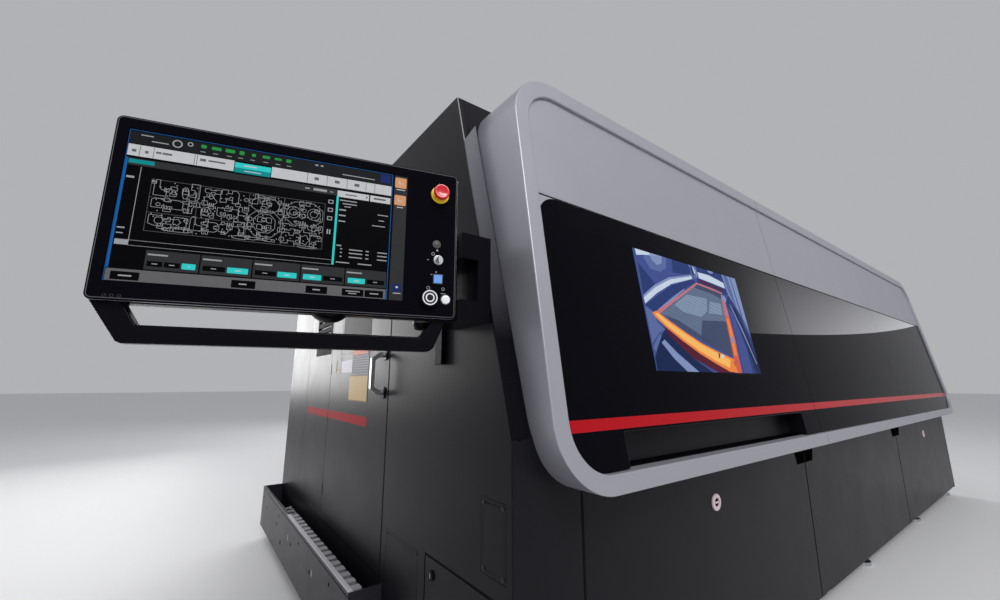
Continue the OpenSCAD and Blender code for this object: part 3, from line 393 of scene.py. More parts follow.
def apply_modifier(thing, kind, **settings):
    """Add a modifier, set it and apply it."""
    choose(thing)
    modifier = thing.modifiers.new(kind.lower(), kind)
    for key, value in settings.items():
        setattr(modifier, key, value)
    bpy.ops.object.modifier_apply(modifier=modifier.name)


def cut_away(thing, cutter):
    """Cut a shape out of a piece; the shape goes."""
    apply_modifier(thing, "BOOLEAN", object=cutter, operation="DIFFERENCE", solver="EXACT")
    bpy.data.objects.remove(cutter)


def smooth(thing, degrees=35):
    """Smooth shading, sharp where faces meet at more than this angle."""
    choose(thing)
    bpy.ops.object.shade_smooth_by_angle(angle=math.radians(degrees))


def crisp(thing):
    """Smooth shading in which a rounded edge leaves the large faces beside it flat."""
    smooth(thing, 40)
    apply_modifier(thing, "WEIGHTED_NORMAL", keep_sharp=True, weight=100)


def round_edges(thing, width, segments=2, degrees=50):
    """Round every edge that is sharper than an angle, and keep the flats flat."""
    apply_modifier(thing, "BEVEL", width=width, segments=segments, limit_method="ANGLE",
                   angle_limit=math.radians(degrees))
    crisp(thing)


def settle(thing, matrix):
    """Bake a placing matrix into the mesh, so that the object stays at the origin."""
    thing.data.transform(matrix @ thing.matrix_basis)
    thing.matrix_basis = Matrix.Identity(4)
    return thing


def shift(x=0, y=0, z=0):
    return Matrix.Translation((x, y, z))


def turned(degrees, axis):
    return Matrix.Rotation(math.radians(degrees), 4, axis)


def join_pieces(pieces):
    """Make one object of several."""
    start_clean()
    for piece in pieces:
        piece.select_set(True)
    bpy.context.view_layer.objects.active = pieces[0]
    if len(pieces) > 1:
        bpy.ops.object.join()
    return bpy.context.view_layer.objects.active


def copies_of(source, places):
    """Copies of a piece at places, joined into one piece; the first piece goes."""
    made = []
    for place in places:
        copy = bpy.data.objects.new("copy", source.data.copy())
        scene.collection.objects.link(copy)
        made.append(settle(copy, shift(*place)))
    bpy.data.objects.remove(source)
    return join_pieces(made)


def finish_piece(thing, name, finish, body="machine_body"):
    """Name a piece, give it a material and fix it to a body."""
    thing.name = thing.data.name = name
    wear(thing, finish)
    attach(thing, body)
    return thing


# %% Softened copies of CAD shapes
MERGE, FLAT_ENOUGH = 0.00002, 0.00003


def clean_copy(node, whole=True):
    """A copy of a CAD node's mesh, with flat faces whole again if whole, ready for a bevel."""
    copy = bpy.data.objects.new(node + "_soft", nodes[node].data.copy())
    scene.collection.objects.link(copy)
    with editing(copy):
        bpy.ops.mesh.remove_doubles(threshold=MERGE)
        if whole:
            bpy.ops.mesh.dissolve_limited(angle_limit=math.radians(0.5))
        bpy.ops.mesh.normals_make_consistent(inside=False)
    return copy


def level_flats(thing):
    """Point every normal of an upright or level flat exactly along its axis."""
    mesh = thing.data
    normals = [corner.vector.copy() for corner in mesh.corner_normals]
    for face in mesh.polygons:
        corners = [mesh.vertices[index].co for index in face.vertices]
        for axis in range(3):
            places = [corner[axis] for corner in corners]
            if max(places) - min(places) < FLAT_ENOUGH and face.normal[axis]:
                straight = Vector((0, 0, 0))
                straight[axis] = math.copysign(1, face.normal[axis])
                for loop in face.loop_indices:
                    normals[loop] = straight
    mesh.normals_split_custom_set(normals)


def stand_for(copy, node):
    """The softened copy replaces the node and moves with the node's body."""
    level_flats(copy)
    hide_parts(node)
    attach(copy, body_of[node])
    return copy


def soften(node, width, segments=2, degrees=35, whole=True):
    """Let a copy of a node with rounded edges stand for it."""
    copy = clean_copy(node, whole)
    round_edges(copy, width, segments, degrees)
    return stand_for(copy, node)


print("steps of softening: clean copy, bevel, level flats, stand for the node")

# %% Shapes with corners
UPRIGHT = (math.pi / 2, 0, 0)


def bake(thing):
    """Apply an object's place, turn and size to its mesh."""
    bpy.ops.object.transform_apply(location=True, rotation=True, scale=True)
    return thing


def thicken(piece, thick):
    """Give a flat shape a thickness towards -Y."""
    with editing(piece):
        bpy.ops.mesh.extrude_region_move(TRANSFORM_OT_translate={"value": (0, -thick, 0)})
        bpy.ops.mesh.select_all(action="SELECT")
        bpy.ops.mesh.normals_make_consistent(inside=False)
    return piece


def hollow_out(piece, wide):
    """Leave only a rim of a flat shape."""
    with editing(piece):
        bpy.ops.mesh.inset(thickness=wide)
        bpy.ops.mesh.delete(type="FACE")
    return piece


def sheet(x0, z0, x1, z1, radius=0.0, round_steps=5):
    """A flat upright rectangle, facing -Y, with its corners rounded."""
    start_clean()
    bpy.ops.mesh.primitive_plane_add(size=1, location=((x0 + x1) / 2, 0, (z0 + z1) / 2),
                                     rotation=UPRIGHT)
    piece = bpy.context.object
    piece.scale = (x1 - x0, z1 - z0, 1)
    bake(piece)
    if radius:
        with editing(piece):
            bpy.ops.mesh.bevel(offset=radius, segments=round_steps, affect="VERTICES")
    return piece


def plate(x0, z0, x1, z1, thick, radius=0.0, edge=0.0):
    """A rounded rectangle with thickness: its front at -thick, its back at 0."""
    piece = thicken(sheet(x0, z0, x1, z1, radius), thick)
    if edge:
        round_edges(piece, edge)
    return piece


def block(low, high, edge=0.0):
    """A box between two corners."""
    start_clean()
    bpy.ops.mesh.primitive_cube_add(size=1, location=[(a + b) / 2 for a, b in zip(low, high)])
    piece = bpy.context.object
    piece.scale = [b - a for a, b in zip(low, high)]
    bake(piece)
    if edge:
        round_edges(piece, edge)
    return piece


print("shapes with corners: sheet, plate, block")

# %% Round shapes
def disc(x, z, radius, thick, edge=0.0, steps=48):
    """A round plate: its front at -thick, its back at 0."""
    start_clean()
    bpy.ops.mesh.primitive_cylinder_add(vertices=steps, radius=radius, depth=thick,
                                        location=(x, -thick / 2, z), rotation=UPRIGHT)
    piece = bake(bpy.context.object)
    if edge:
        round_edges(piece, edge, 3)
    else:
        crisp(piece)
    return piece


def circle(x, z, radius, steps):
    """A flat upright circle, facing -Y."""
    start_clean()
    bpy.ops.mesh.primitive_circle_add(vertices=steps, radius=radius, fill_type="NGON",
                                      location=(x, 0, z), rotation=UPRIGHT)
    return bake(bpy.context.object)


def ring(x, z, outer, inner, thick, steps=48):
    """A flat ring: its front at -thick, its back at 0."""
    piece = thicken(hollow_out(circle(x, z, outer, steps), outer - inner), thick)
    smooth(piece, 40)
    return piece


def outline(points):
    """A flat upright shape: a circle with as many corners as the outline, moved into place."""
    piece = circle(0, 0, 1, len(points))
    for corner, (x, z) in zip(piece.data.vertices, points):
        corner.co = (x, 0, z)
    piece.data.update()
    if piece.data.polygons[0].normal.y > 0:
        with editing(piece):
            bpy.ops.mesh.flip_normals()
    return piece


print("round shapes and outlines: disc, circle, ring, outline")

# %% Turned shapes
def spun(profile, place, steps=48):
    """Spin a half outline of (radius, height in front) round the -Y axis of a place."""
    start_clean()
    bpy.ops.mesh.primitive_circle_add(vertices=3, radius=0.001, fill_type="NOTHING")
    piece = bpy.context.object
    with editing(piece):
        bpy.ops.mesh.delete(type="EDGE_FACE")
        bpy.ops.mesh.select_all(action="SELECT")
        bpy.ops.mesh.merge(type="CENTER")
    piece.data.vertices[0].co = (profile[0][0], -profile[0][1], 0)
    with editing(piece):
        for (r0, y0), (r1, y1) in zip(profile, profile[1:]):
            bpy.ops.mesh.extrude_vertices_move(
                TRANSFORM_OT_translate={"value": (r1 - r0, y0 - y1, 0)})
        bpy.ops.mesh.select_all(action="SELECT")
        bpy.ops.mesh.spin(steps=steps, angle=2 * math.pi, center=(0, 0, 0), axis=(0, 1, 0))
        bpy.ops.mesh.select_all(action="SELECT")
        bpy.ops.mesh.remove_doubles(threshold=0.00001)
        bpy.ops.mesh.normals_make_consistent(inside=False)
    smooth(piece)
    return settle(piece, place)


print("turned shapes: spun")

# %% [markdown]
# ## The fascia's frame
# The frame is folded and welded from 4 mm sheet, ground and sprayed. Its front edges were
# rounded by the grinder, so they catch a soft line of light. A bevel modifier would also round
# the edges that nobody sees, which the sheet is too thin for. So only the front edges are
# picked, by how far they lie from the tilted front plane, and bevelled in edit mode.

# %% The tilted front plane
FACE_TILT = math.radians(8.4)
FACE_LOW, FACE_FRONT = 0.788, -1.518
FRAME_EDGE = 0.0045


def on_face(depth):
    """Matrix that leans an upright flat shape back onto the fascia, depth behind its front."""
    lean = math.tan(FACE_TILT)
    start = FACE_FRONT - FACE_LOW * lean + depth / math.cos(FACE_TILT)
    return Matrix(((1, 0, 0, 0), (0, 1, lean, start), (0, 0, 1, 0), (0, 0, 0, 1)))


def depth_behind_face(point):
    ahead = point[1] - FACE_FRONT - (point[2] - FACE_LOW) * math.tan(FACE_TILT)
    return ahead * math.cos(FACE_TILT)


def round_chosen(thing, test, width):
    """Bevel the sharp edges whose two ends both pass the test."""
    form = bmesh.new()
    form.from_mesh(thing.data)
    picked = [edge.index for edge in form.edges
              if len(edge.link_faces) == 2 and edge.calc_face_angle() > math.radians(30)
              and all(test(corner.co) for corner in edge.verts)]
    form.free()
    choose(thing)
    bpy.ops.object.mode_set(mode="EDIT")
    bpy.ops.mesh.select_mode(type="EDGE")
    bpy.ops.mesh.select_all(action="DESELECT")
    bpy.ops.object.mode_set(mode="OBJECT")
    for index in picked:
        thing.data.edges[index].select = True
    bpy.ops.object.mode_set(mode="EDIT")
    bpy.ops.mesh.bevel(offset=width, segments=3, affect="EDGES")
    bpy.ops.mesh.select_mode(type="VERT")
    bpy.ops.object.mode_set(mode="OBJECT")
    crisp(thing)
    return len(picked)


fascia_soft = clean_copy("fascia_frame")
rounded = round_chosen(fascia_soft, lambda p: abs(depth_behind_face(p)) < 0.0006, FRAME_EDGE)
stand_for(fascia_soft, "fascia_frame")
print("front edges rounded:", rounded)

# %% [markdown]
# ## Joints between the three modules
# The frame is bolted up from three modules. Where two meet, a hairline joint crosses the top
# and bottom bands. A hairline is a narrow dark strip a fifth of a millimetre proud, which is
# cheaper than cutting a real groove and looks the same.

# %% Module joints
FRAME_BANDS = ((0.792, 0.834), (2.068, 2.118))
joint_strips = [plate(x - 0.0011, low, x + 0.0011, high, 0.0002)
                for x in (-0.9, 0.9) for low, high in FRAME_BANDS]
finish_piece(settle(join_pieces(joint_strips), on_face(0)), "module_joints", "inner_paint")
print("module joints:", len(joint_strips))

# %% [markdown]
# ## Glass and its print
# The glass is black from behind. A red stripe runs along its foot, a grey sweep hangs from its
# top edge and grows paler to the right, and the door's upper left corner is sprayed silver
# outside a round line, so that the glass seems to have a round corner there. Prints are films
# on the glass: each is a thin sheet of its own, so its edge is as crisp as real print.

# %% Red stripe
FILM = 0.0003
ON_GLASS = on_face(0.015)
STRIPE_LOW, STRIPE_HIGH = 0.950, 0.982
# What each pane of the front spans, with the body that it moves with.
PANES = {"door": (-2.6385, -0.903, "front_door"), "middle": (-0.8985, 0.8985, "machine_body"),
         "right": (0.9015, 2.6385, "machine_body")}
for name, (x0, x1, body) in PANES.items():
    stripe = plate(x0, STRIPE_LOW, x1, STRIPE_HIGH, FILM)
    finish_piece(settle(stripe, ON_GLASS), name + "_stripe", "stripe_red", body)
print("stripe runs at", STRIPE_LOW, "to", STRIPE_HIGH)

# %% The sweep's finish
SWEEP_TOP, SWEEP_START, SWEEP_SLOPE, SWEEP_CURVE = 1.652, 1.390, 0.078, 0.0105
SWEEP_LEFT, SWEEP_RIGHT = -2.15, 2.5
# Its grey fades over a height to a share of itself, and the stops give it along the machine.
FADE_HIGH, FADE_SHARE = 0.36, 0.30
SWEEP_GREYS = ((0.08, 0.010), (0.17, 0.045), (0.27, 0.16), (0.40, 0.25), (0.65, 0.41))


def sweep_line(x):
    """Height of the sweep's lower edge."""
    return SWEEP_START + SWEEP_SLOPE * x + SWEEP_CURVE * x * x


def sweep_material():
    """Grey film: paler to the right, and paler towards its lower edge."""
    material, tree, shader, place = start_material("sweep_film", 0.12, ior=1.08)
    split = add_node(tree, "SeparateXYZ", Vector=place)
    x, z = split.outputs["X"], split.outputs["Z"]

    def calculate(kind, first, second):
        node = tree.nodes.new("ShaderNodeMath")
        node.operation = kind
        for socket, value in zip(node.inputs, (first, second)):
            if isinstance(value, float):
                socket.default_value = value
            else:
                tree.links.new(value, socket)
        return node.outputs["Value"]

    rise = calculate("ADD", calculate("MULTIPLY", x, SWEEP_SLOPE),
                     calculate("MULTIPLY", calculate("MULTIPLY", x, x), SWEEP_CURVE))
    above = calculate("SUBTRACT", calculate("SUBTRACT", z, SWEEP_START), rise)
    fade = remap(tree, above, 0.0, FADE_HIGH, 1.0, FADE_SHARE)
    along = add_node(tree, "ValToRGB", Fac=remap(tree, x, SWEEP_LEFT, SWEEP_RIGHT))
    stops = along.color_ramp.elements
    stops[0].color = (*BLACK, 1)
    stops[1].color = (0.66, 0.66, 0.68, 1)
    for position, grey in SWEEP_GREYS:
        stops.new(position).color = (grey, grey, grey * 1.05, 1)
    fill_in(tree, shader,
            Base_Color=blend_colours(tree, fade, BLACK, along.outputs["Color"]))
    ripple(tree, shader, noise(tree, place, PEEL_SCALE), 0.000002)
    return material


finishes["sweep_film"] = sweep_material()
print("sweep fades over", SWEEP_LEFT, "to", SWEEP_RIGHT)

# %% The sweep's films
def film(points):
    """A film of any outline."""
    return thicken(outline(points), FILM)


def sweep_piece(x0, x1, steps):
    """Film between the sweep's lower line and its straight top."""
    columns = [x0 + (x1 - x0) * i / steps for i in range(steps + 1)]
    lower = [(x, min(sweep_line(x), SWEEP_TOP - 0.001)) for x in columns]
    return film(lower + [(x1, SWEEP_TOP), (x0, SWEEP_TOP)])


# Over the display the film is a straight band; beside it the sweep starts.
BAND_LEFT, BAND_LOW, BESIDE_PICTURE = -2.555, 1.5665, -1.4065
band = film([(BAND_LEFT, BAND_LOW), (BESIDE_PICTURE, BAND_LOW), (BESIDE_PICTURE, SWEEP_TOP),
             (BAND_LEFT, SWEEP_TOP)])
sweeps = {"door": join_pieces([band, sweep_piece(BESIDE_PICTURE, PANES["door"][1], 12)]),
          "middle": sweep_piece(*PANES["middle"][:2], 24),
          "right": sweep_piece(PANES["right"][0], SWEEP_RIGHT, 24)}
for name, piece in sweeps.items():
    finish_piece(settle(piece, ON_GLASS), name + "_sweep", "sweep_film", PANES[name][2])
print("sweep from", round(sweep_line(-1.43), 3), "up to", round(sweep_line(SWEEP_RIGHT), 3))

# %% Silver corner on the door
CORNER_R, CORNER = 0.085, (-2.6425, 1.6535)
arc = [(CORNER[0] + CORNER_R * (1 - math.cos(a)), CORNER[1] - CORNER_R * (1 - math.sin(a)))
       for a in (math.radians(i * 6) for i in range(16))]
corner_film = finish_piece(settle(film([CORNER] + arc), ON_GLASS), "door_corner",
                           "silver_paint", "front_door")
print("corner film has", len(corner_film.data.vertices), "corners")

# %% [markdown]
# ## The display in the door
# Behind the glass a large screen shows the cutting area: a slatted bed with a warm rim inside
# a blue chamber. It is drawn as a screen draws it, with lit fields of plain colour. Each field
# is a thin film with a finish that gives off light.

# %% Lit colours
LAYER = 0.00006
picture_colours = {
    "deep": (0.010, 0.020, 0.075), "navy": (0.022, 0.042, 0.155), "blue": (0.050, 0.075, 0.250),
    "steel": (0.095, 0.135, 0.320), "haze": (0.20, 0.26, 0.46), "pale": (0.52, 0.60, 0.72),
    "bed": (0.115, 0.155, 0.245), "bed_light": (0.205, 0.275, 0.380),
    "bed_dark": (0.050, 0.068, 0.130), "orange": (0.78, 0.22, 0.045),
    "amber": (0.86, 0.46, 0.12), "red": (0.60, 0.10, 0.06), "pink": (0.50, 0.16, 0.18),
    "maroon": (0.085, 0.012, 0.030),
}
for name, colour in picture_colours.items():
    finishes["picture_" + name] = lit("picture_" + name, colour)


# The drawing is 764 across and 443 down, from its top left.
PICTURE_LEFT, PICTURE_TOP, STEP_X, STEP_Z = -2.1951, 1.566, 0.00103, 0.00101


def in_picture(corners, proud):
    """A field of the drawing, proud of the door's glass."""
    points = [(PICTURE_LEFT + x * STEP_X, PICTURE_TOP - z * STEP_Z) for x, z in corners]
    return settle(outline(points), shift(y=-proud))


print("picture colours:", len(picture_colours))

# %% Fields of the picture
# Each field: a colour, a layer, and corners in the drawing, from its top left.
picture_fields = [
    ("blue", 1, [(3, 3), (764, 3), (764, 443), (3, 443)]),
    ("steel", 2, [(60, 30), (96, 3), (214, 3), (196, 50), (150, 72), (90, 70)]),
    ("haze", 3, [(100, 3), (184, 3), (172, 34), (140, 46), (112, 32)]),
    ("navy", 2, [(250, 3), (366, 3), (372, 44), (300, 56), (236, 60)]),
    ("navy", 2, [(20, 60), (60, 90), (100, 128), (14, 178)]),
    ("navy", 3, [(14, 216), (206, 118), (376, 68), (396, 76), (200, 160), (60, 238)]),
    ("steel", 2, [(10, 222), (56, 240), (62, 272), (100, 298), (60, 312), (10, 350)]),
    ("deep", 3, [(8, 400), (60, 330), (104, 296), (240, 392), (360, 443), (8, 443)]),
    ("steel", 4, [(8, 366), (60, 316), (72, 322), (20, 380)]),
    ("haze", 4, [(64, 346), (84, 334), (150, 380), (262, 443), (186, 443), (118, 398)]),
    ("pale", 3, [(18, 3), (166, 3), (62, 20), (20, 28)]),
    ("haze", 4, [(12, 182), (90, 134), (200, 86), (372, 48), (374, 54), (204, 94), (94, 142),
                 (14, 190)]),
    ("pale", 4, [(12, 190), (94, 142), (204, 94), (372, 54), (374, 65), (208, 112), (100, 162),
                 (14, 212)]),
    ("haze", 4, [(84, 226), (190, 170), (290, 120), (292, 125), (194, 176), (88, 232)]),
    ("steel", 3, [(366, 3), (426, 3), (424, 50), (398, 62), (372, 50), (378, 24)]),
    ("deep", 4, [(380, 12), (390, 8), (396, 44), (384, 50)]),
    ("pale", 5, [(396, 10), (404, 8), (410, 34), (402, 40)]),
    ("haze", 5, [(410, 20), (420, 18), (420, 46), (412, 50)]),
    ("navy", 2, [(426, 3), (636, 3), (642, 40), (520, 24), (426, 26)]),
    ("haze", 3, [(516, 3), (566, 3), (556, 14), (526, 14)]),
    ("pale", 4, [(428, 27), (520, 26), (636, 44), (638, 70), (520, 60), (430, 54)]),
    ("navy", 3, [(420, 54), (640, 72), (656, 96), (610, 104), (400, 80)]),
    ("maroon", 5, [(430, 60), (626, 78), (622, 86), (424, 70)]),
    ("haze", 3, [(640, 3), (764, 3), (764, 250), (736, 205), (690, 140), (652, 96)]),
    ("steel", 4, [(652, 3), (690, 3), (704, 150), (684, 128), (660, 80)]),
    ("navy", 5, [(712, 3), (718, 3), (734, 196), (724, 182)]),
    ("navy", 3, [(652, 98), (690, 142), (736, 208), (764, 254), (764, 443), (600, 443), (614, 300),
                 (616, 130)]),
    ("deep", 4, [(664, 150), (684, 160), (740, 300), (764, 380), (764, 443), (722, 443),
                 (700, 330)]),
    ("haze", 5, [(640, 142), (648, 144), (700, 250), (752, 400), (746, 404), (692, 262)]),
    ("steel", 5, [(722, 200), (764, 250), (764, 290), (734, 236)]),
    ("blue", 4, [(618, 160), (650, 180), (690, 330), (690, 443), (604, 443), (620, 300)]),
    ("bed", 6, [(398, 82), (598, 96), (550, 378), (96, 240)]),
    ("bed_dark", 7, [(402, 84), (596, 98), (590, 128), (500, 112), (372, 104)]),
    ("bed_light", 7, [(300, 142), (452, 140), (430, 196), (372, 226), (250, 218), (196, 196)]),
    ("bed_light", 7, [(470, 150), (560, 150), (552, 200), (440, 204)]),
    ("bed_dark", 7, [(372, 240), (576, 226), (550, 378), (420, 345), (330, 316)]),
    ("bed_dark", 7, [(110, 240), (200, 256), (330, 300), (420, 344), (240, 296)]),
    ("pink", 8, [(62, 238), (186, 180), (400, 77), (410, 81), (192, 188), (84, 244)]),
    ("pink", 8, [(404, 78), (520, 86), (600, 96), (598, 102), (500, 93), (402, 85)]),
    ("pink", 8, [(582, 106), (604, 110), (606, 206), (570, 200)]),
    ("red", 8, [(570, 200), (606, 206), (606, 300), (594, 400), (550, 390), (562, 290)]),
    ("orange", 9, [(578, 210), (598, 212), (598, 290), (586, 372), (564, 372), (570, 296)]),
    ("haze", 10, [(570, 292), (592, 292), (586, 322), (566, 318)]),
    ("haze", 9, [(594, 106), (612, 108), (622, 122), (612, 138), (594, 138), (584, 122)]),
    ("maroon", 7, [(96, 284), (200, 334), (330, 386), (470, 430), (530, 443), (400, 443),
                   (240, 392), (112, 312)]),
    ("orange", 9, [(44, 242), (70, 232), (150, 266), (230, 298), (330, 334), (440, 362),
                   (548, 386), (580, 414), (572, 443), (490, 438), (400, 410), (300, 376),
                   (200, 333), (110, 288), (60, 258)]),
    ("amber", 10, [(58, 242), (76, 240), (150, 274), (230, 305), (330, 341), (440, 370),
                   (520, 390), (500, 424), (400, 398), (300, 364), (200, 322), (110, 278)]),
    ("red", 10, [(536, 396), (596, 396), (590, 443), (560, 443)]),
    ("deep", 11, [(436, 366), (446, 368), (438, 388), (430, 386)]),
    ("pale", 11, [(450, 372), (474, 370), (478, 380), (454, 386)]),
]
by_colour = {}
for colour, layer, corners in picture_fields:
    by_colour.setdefault(colour, []).append(in_picture(corners, LAYER * layer))
for colour, pieces in by_colour.items():
    finish_piece(settle(join_pieces(pieces), ON_GLASS), "door_picture_" + colour,
                 "picture_" + colour, "front_door")
print("picture fields:", len(picture_fields), "in", len(by_colour), "colours")

# %% Slats of the pictured bed
# Each slat is a line between the bed's two long sides.
SLATS_DRAWN, SLATS_PROUD = 15, 0.0008
BED_LEFT, BED_RIGHT = ((400, 80), (96, 240)), ((600, 96), (548, 376))


def between(side, part):
    """The point of a side that lies a part of the way along it."""
    return [start + (end - start) * part for start, end in zip(*side)]


slat_lines = []
for index in range(SLATS_DRAWN):
    part = (index + 1) / (SLATS_DRAWN + 1)
    (left_x, left_z), (right_x, right_z) = between(BED_LEFT, part), between(BED_RIGHT, part)
    slat_lines.append(in_picture([(left_x, left_z), (right_x, right_z), (right_x, right_z + 1.3),
                                  (left_x, left_z + 0.9)], SLATS_PROUD))
finish_piece(settle(join_pieces(slat_lines), ON_GLASS), "door_picture_slats",
             "picture_bed_dark", "front_door")
print("slat lines:", len(slat_lines))

# %% [markdown]
# ## The control console
# The console hangs on an arm at the machine's left end. Everything on it is drawn flat and
# upright round the middle of its front, and then carried to its place by one matrix, which is
# worked out from the pivot that it swings on.

# %% The console's place
CONSOLE_TURN = 14.8
HUB = Vector((0.060, 0.130, 0))
ON_CONSOLE = (Matrix.Translation(joints["console_swivel"]["pos_m"]) @ turned(-CONSOLE_TURN, "Z")
              @ Matrix.Translation(-HUB))
TO_CONSOLE = ON_CONSOLE.inverted()
print("console's middle:", tuple(round(v, 4) for v in ON_CONSOLE.translation))

# %% Soft edges on the console's case
BEZEL_EDGE, BEZEL_INNER_X, BEZEL_INNER_Z = 0.0035, 0.336, 0.173


def on_bezel_edge(point):
    """On the front of the bezel, and on its outer outline."""
    x, y, z = TO_CONSOLE @ point
    return abs(y) < 0.0004 and (abs(x) > BEZEL_INNER_X or abs(z) > BEZEL_INNER_Z)


bezel = clean_copy("console_bezel")
count = round_chosen(bezel, on_bezel_edge, BEZEL_EDGE)
stand_for(bezel, "console_bezel")
for node, width in (("console_housing", 0.003), ("console_handle", 0.004),
                    ("console_bracket", 0.003), ("console_arm", 0.002)):
    soften(node, width, 3, whole=node != "console_handle")
print("bezel edges rounded:", count)

# %% Room for the arm's pin
# Both the pin and its hole have flat facets here, so the pin is a hair thinner than in CAD.
PIN_REACH, PIN_SHRINK = 0.0125, 0.02
pin_x, pin_y, _ = joints["arm_swing"]["pos_m"]
pin_points = 0
for vertex in bpy.data.objects["console_arm_soft"].data.vertices:
    offset = vertex.co - Vector((pin_x, pin_y, vertex.co.z))
    if offset.length < PIN_REACH:
        vertex.co -= offset * PIN_SHRINK
        pin_points += 1
print("pin corners drawn in:", pin_points)

# %% [markdown]
# ## What the console's screen shows
# A control screen is a page of bars, tabs, tiles and a drawing of the nested sheet-metal parts.
# Each is a field of one colour on a film a few hundredths of a millimetre thick, lit as the
# screen is. Fields of one colour and one layer are joined into one piece.

# %% Screen colours and fields
screen_colours = {
    "black": (0.002, 0.002, 0.003), "dark": (0.012, 0.013, 0.015), "bar": (0.030, 0.031, 0.033),
    "grey": (0.115, 0.115, 0.12), "white": (0.50, 0.505, 0.52), "teal": (0.03, 0.55, 0.53),
    "deep_teal": (0.006, 0.24, 0.26), "blue": (0.010, 0.105, 0.34), "green": (0.02, 0.26, 0.05),
    "amber": (0.60, 0.29, 0.14), "line": (0.30, 0.31, 0.32), "navy": (0.012, 0.022, 0.12),
}
for name, colour in screen_colours.items():
    finishes["screen_" + name] = lit("screen_" + name, colour)
SCREEN_DEPTH = 0.001
LINE_DEPTH = SCREEN_DEPTH - LAYER * 5
# The screen page is 1460 wide and 890 high, and starts at its top left.
PAGE_LEFT, PAGE_TOP = -0.326, 0.160
PAGE_X, PAGE_Z = 0.513 / 1460, 0.311 / 890


def on_screen(u, v):
    """A point of the screen page in the console's metres."""
    return PAGE_LEFT + u * PAGE_X, PAGE_TOP - v * PAGE_Z


def on_console(piece, depth=0.0):
    """Carry a flat piece to the console, some depth behind its front."""
    return settle(piece, ON_CONSOLE @ shift(y=depth))


def fields(films, depth=SCREEN_DEPTH):
    """Films (name, colour, layer, corner radius, boxes), each box by its left, top, right and
    bottom on the screen page."""
    for name, colour, layer, radius, boxes in films:
        pieces = []
        for left, top, right, bottom in boxes:
            (x0, z1), (x1, z0) = on_screen(left, top), on_screen(right, bottom)
            pieces.append(sheet(x0, z0, x1, z1, radius))
        finish_piece(on_console(join_pieces(pieces), depth - LAYER * layer), name,
                     "screen_" + colour, "console")
    print("films:", ", ".join(name for name, *_ in films))


def bars(top, bottom, *spans):
    """Boxes of one height, each from its left to its right."""
    return [(left, top, right, bottom) for left, right in spans]


def ticks(wide, high, *places):
    """Boxes of one size, each at its left and top."""
    return [(left, top, left + wide, top + high) for left, top in places]


# %% Bars, tabs and columns
fields([
    ("page", "black", 1, 0, [(0, 0, 1460, 890)]),
    ("page_outline", "blue", 2, 0, [(0, 0, 1460, 3), (0, 0, 3, 890), (1456, 0, 1460, 890),
                                    (4, 172, 14, 815)]),
    ("top_bar", "dark", 2, 0, [(5, 8, 1453, 86)]),
    ("tab_bar", "white", 3, 0, bars(90, 160, (5, 520), (722, 1453))
     + bars(178, 222, (1112, 1310), (1318, 1450))),
    ("tab_lines", "grey", 4, 0, ticks(3, 66, *((left, 92) for left in (
        58, 122, 318, 330, 925, 1042, 1165, 1285, 1342)))),
    ("open_tab", "teal", 4, 0, [(524, 98, 718, 144)]),
    ("open_tab_foot", "deep_teal", 5, 0, [(524, 132, 718, 164)]),
    ("head_bar", "bar", 3, 0, [(16, 174, 1108, 216)]),
    ("page_name", "deep_teal", 4, 0, [(18, 180, 136, 204)]),
    ("value_line", "teal", 4, 0, [(1109, 216, 1122, 685)]),
    ("left_rule", "line", 3, 0, [(78, 222, 81, 682), (20, 654, 80, 684), (20, 282, 56, 294),
                                 (20, 584, 54, 592), (20, 616, 50, 622), (80, 654, 1104, 656),
                                 (80, 684, 1104, 686)]),
    ("tiles", "bar", 3, 0, bars(702, 812, (165, 415), (422, 676), (683, 934), (941, 1190),
                                (1197, 1450))),
    ("tile_keys_on", "teal", 5, 0.001, bars(762, 796, (335, 400), (554, 660), (814, 918),
                                            (954, 1057), (1213, 1317))),
    ("tile_keys_off", "black", 5, 0.001, bars(764, 794, (176, 246), (254, 326), (434, 544),
                                              (694, 806), (1068, 1180), (1328, 1438))),
    ("foot_bar", "grey", 3, 0, [(6, 820, 1452, 886)]),
    ("foot_keys", "black", 4, 0.001, bars(834, 880, (28, 153), (582, 705), (975, 1097),
                                          (1183, 1313), (1320, 1435))),
])

# %% Small marks
light = [(1130, 240, 1236, 247), (1148, 262, 1236, 269), (1160, 282, 1200, 288),
         (1130, 306, 1172, 315), (1372, 308, 1440, 314), (1130, 344, 1172, 353),
         (1380, 348, 1416, 354), (1130, 384, 1172, 392), (1340, 388, 1424, 394),
         (1130, 550, 1160, 558), (1134, 662, 1214, 669), (1266, 662, 1352, 669)]
for top in (572, 596, 622):
    light += bars(top, top + 7, (1154, 1166), (1208, 1290), (1310, 1330), (1384, 1446))
light += ticks(26, 4, *((x, 66) for x in (342, 406, 476, 536, 600, 672, 740, 802)))
light += ticks(92, 9, *((x, 722) for x in (174, 430, 690, 946, 1204)))
light += ticks(26, 5, *((x, 776) for x in (198, 276, 474, 734, 1110, 1368)))
light += [(62, 852, 120, 860), (620, 852, 660, 860), (1014, 852, 1056, 860),
          (1206, 846, 1290, 852), (1222, 860, 1270, 866), (1352, 852, 1406, 859),
          (106, 54, 186, 60), (1134, 58, 1340, 64), (920, 192, 946, 200), (968, 188, 1048, 204),
          (1066, 194, 1086, 200), (54, 24, 112, 30)]
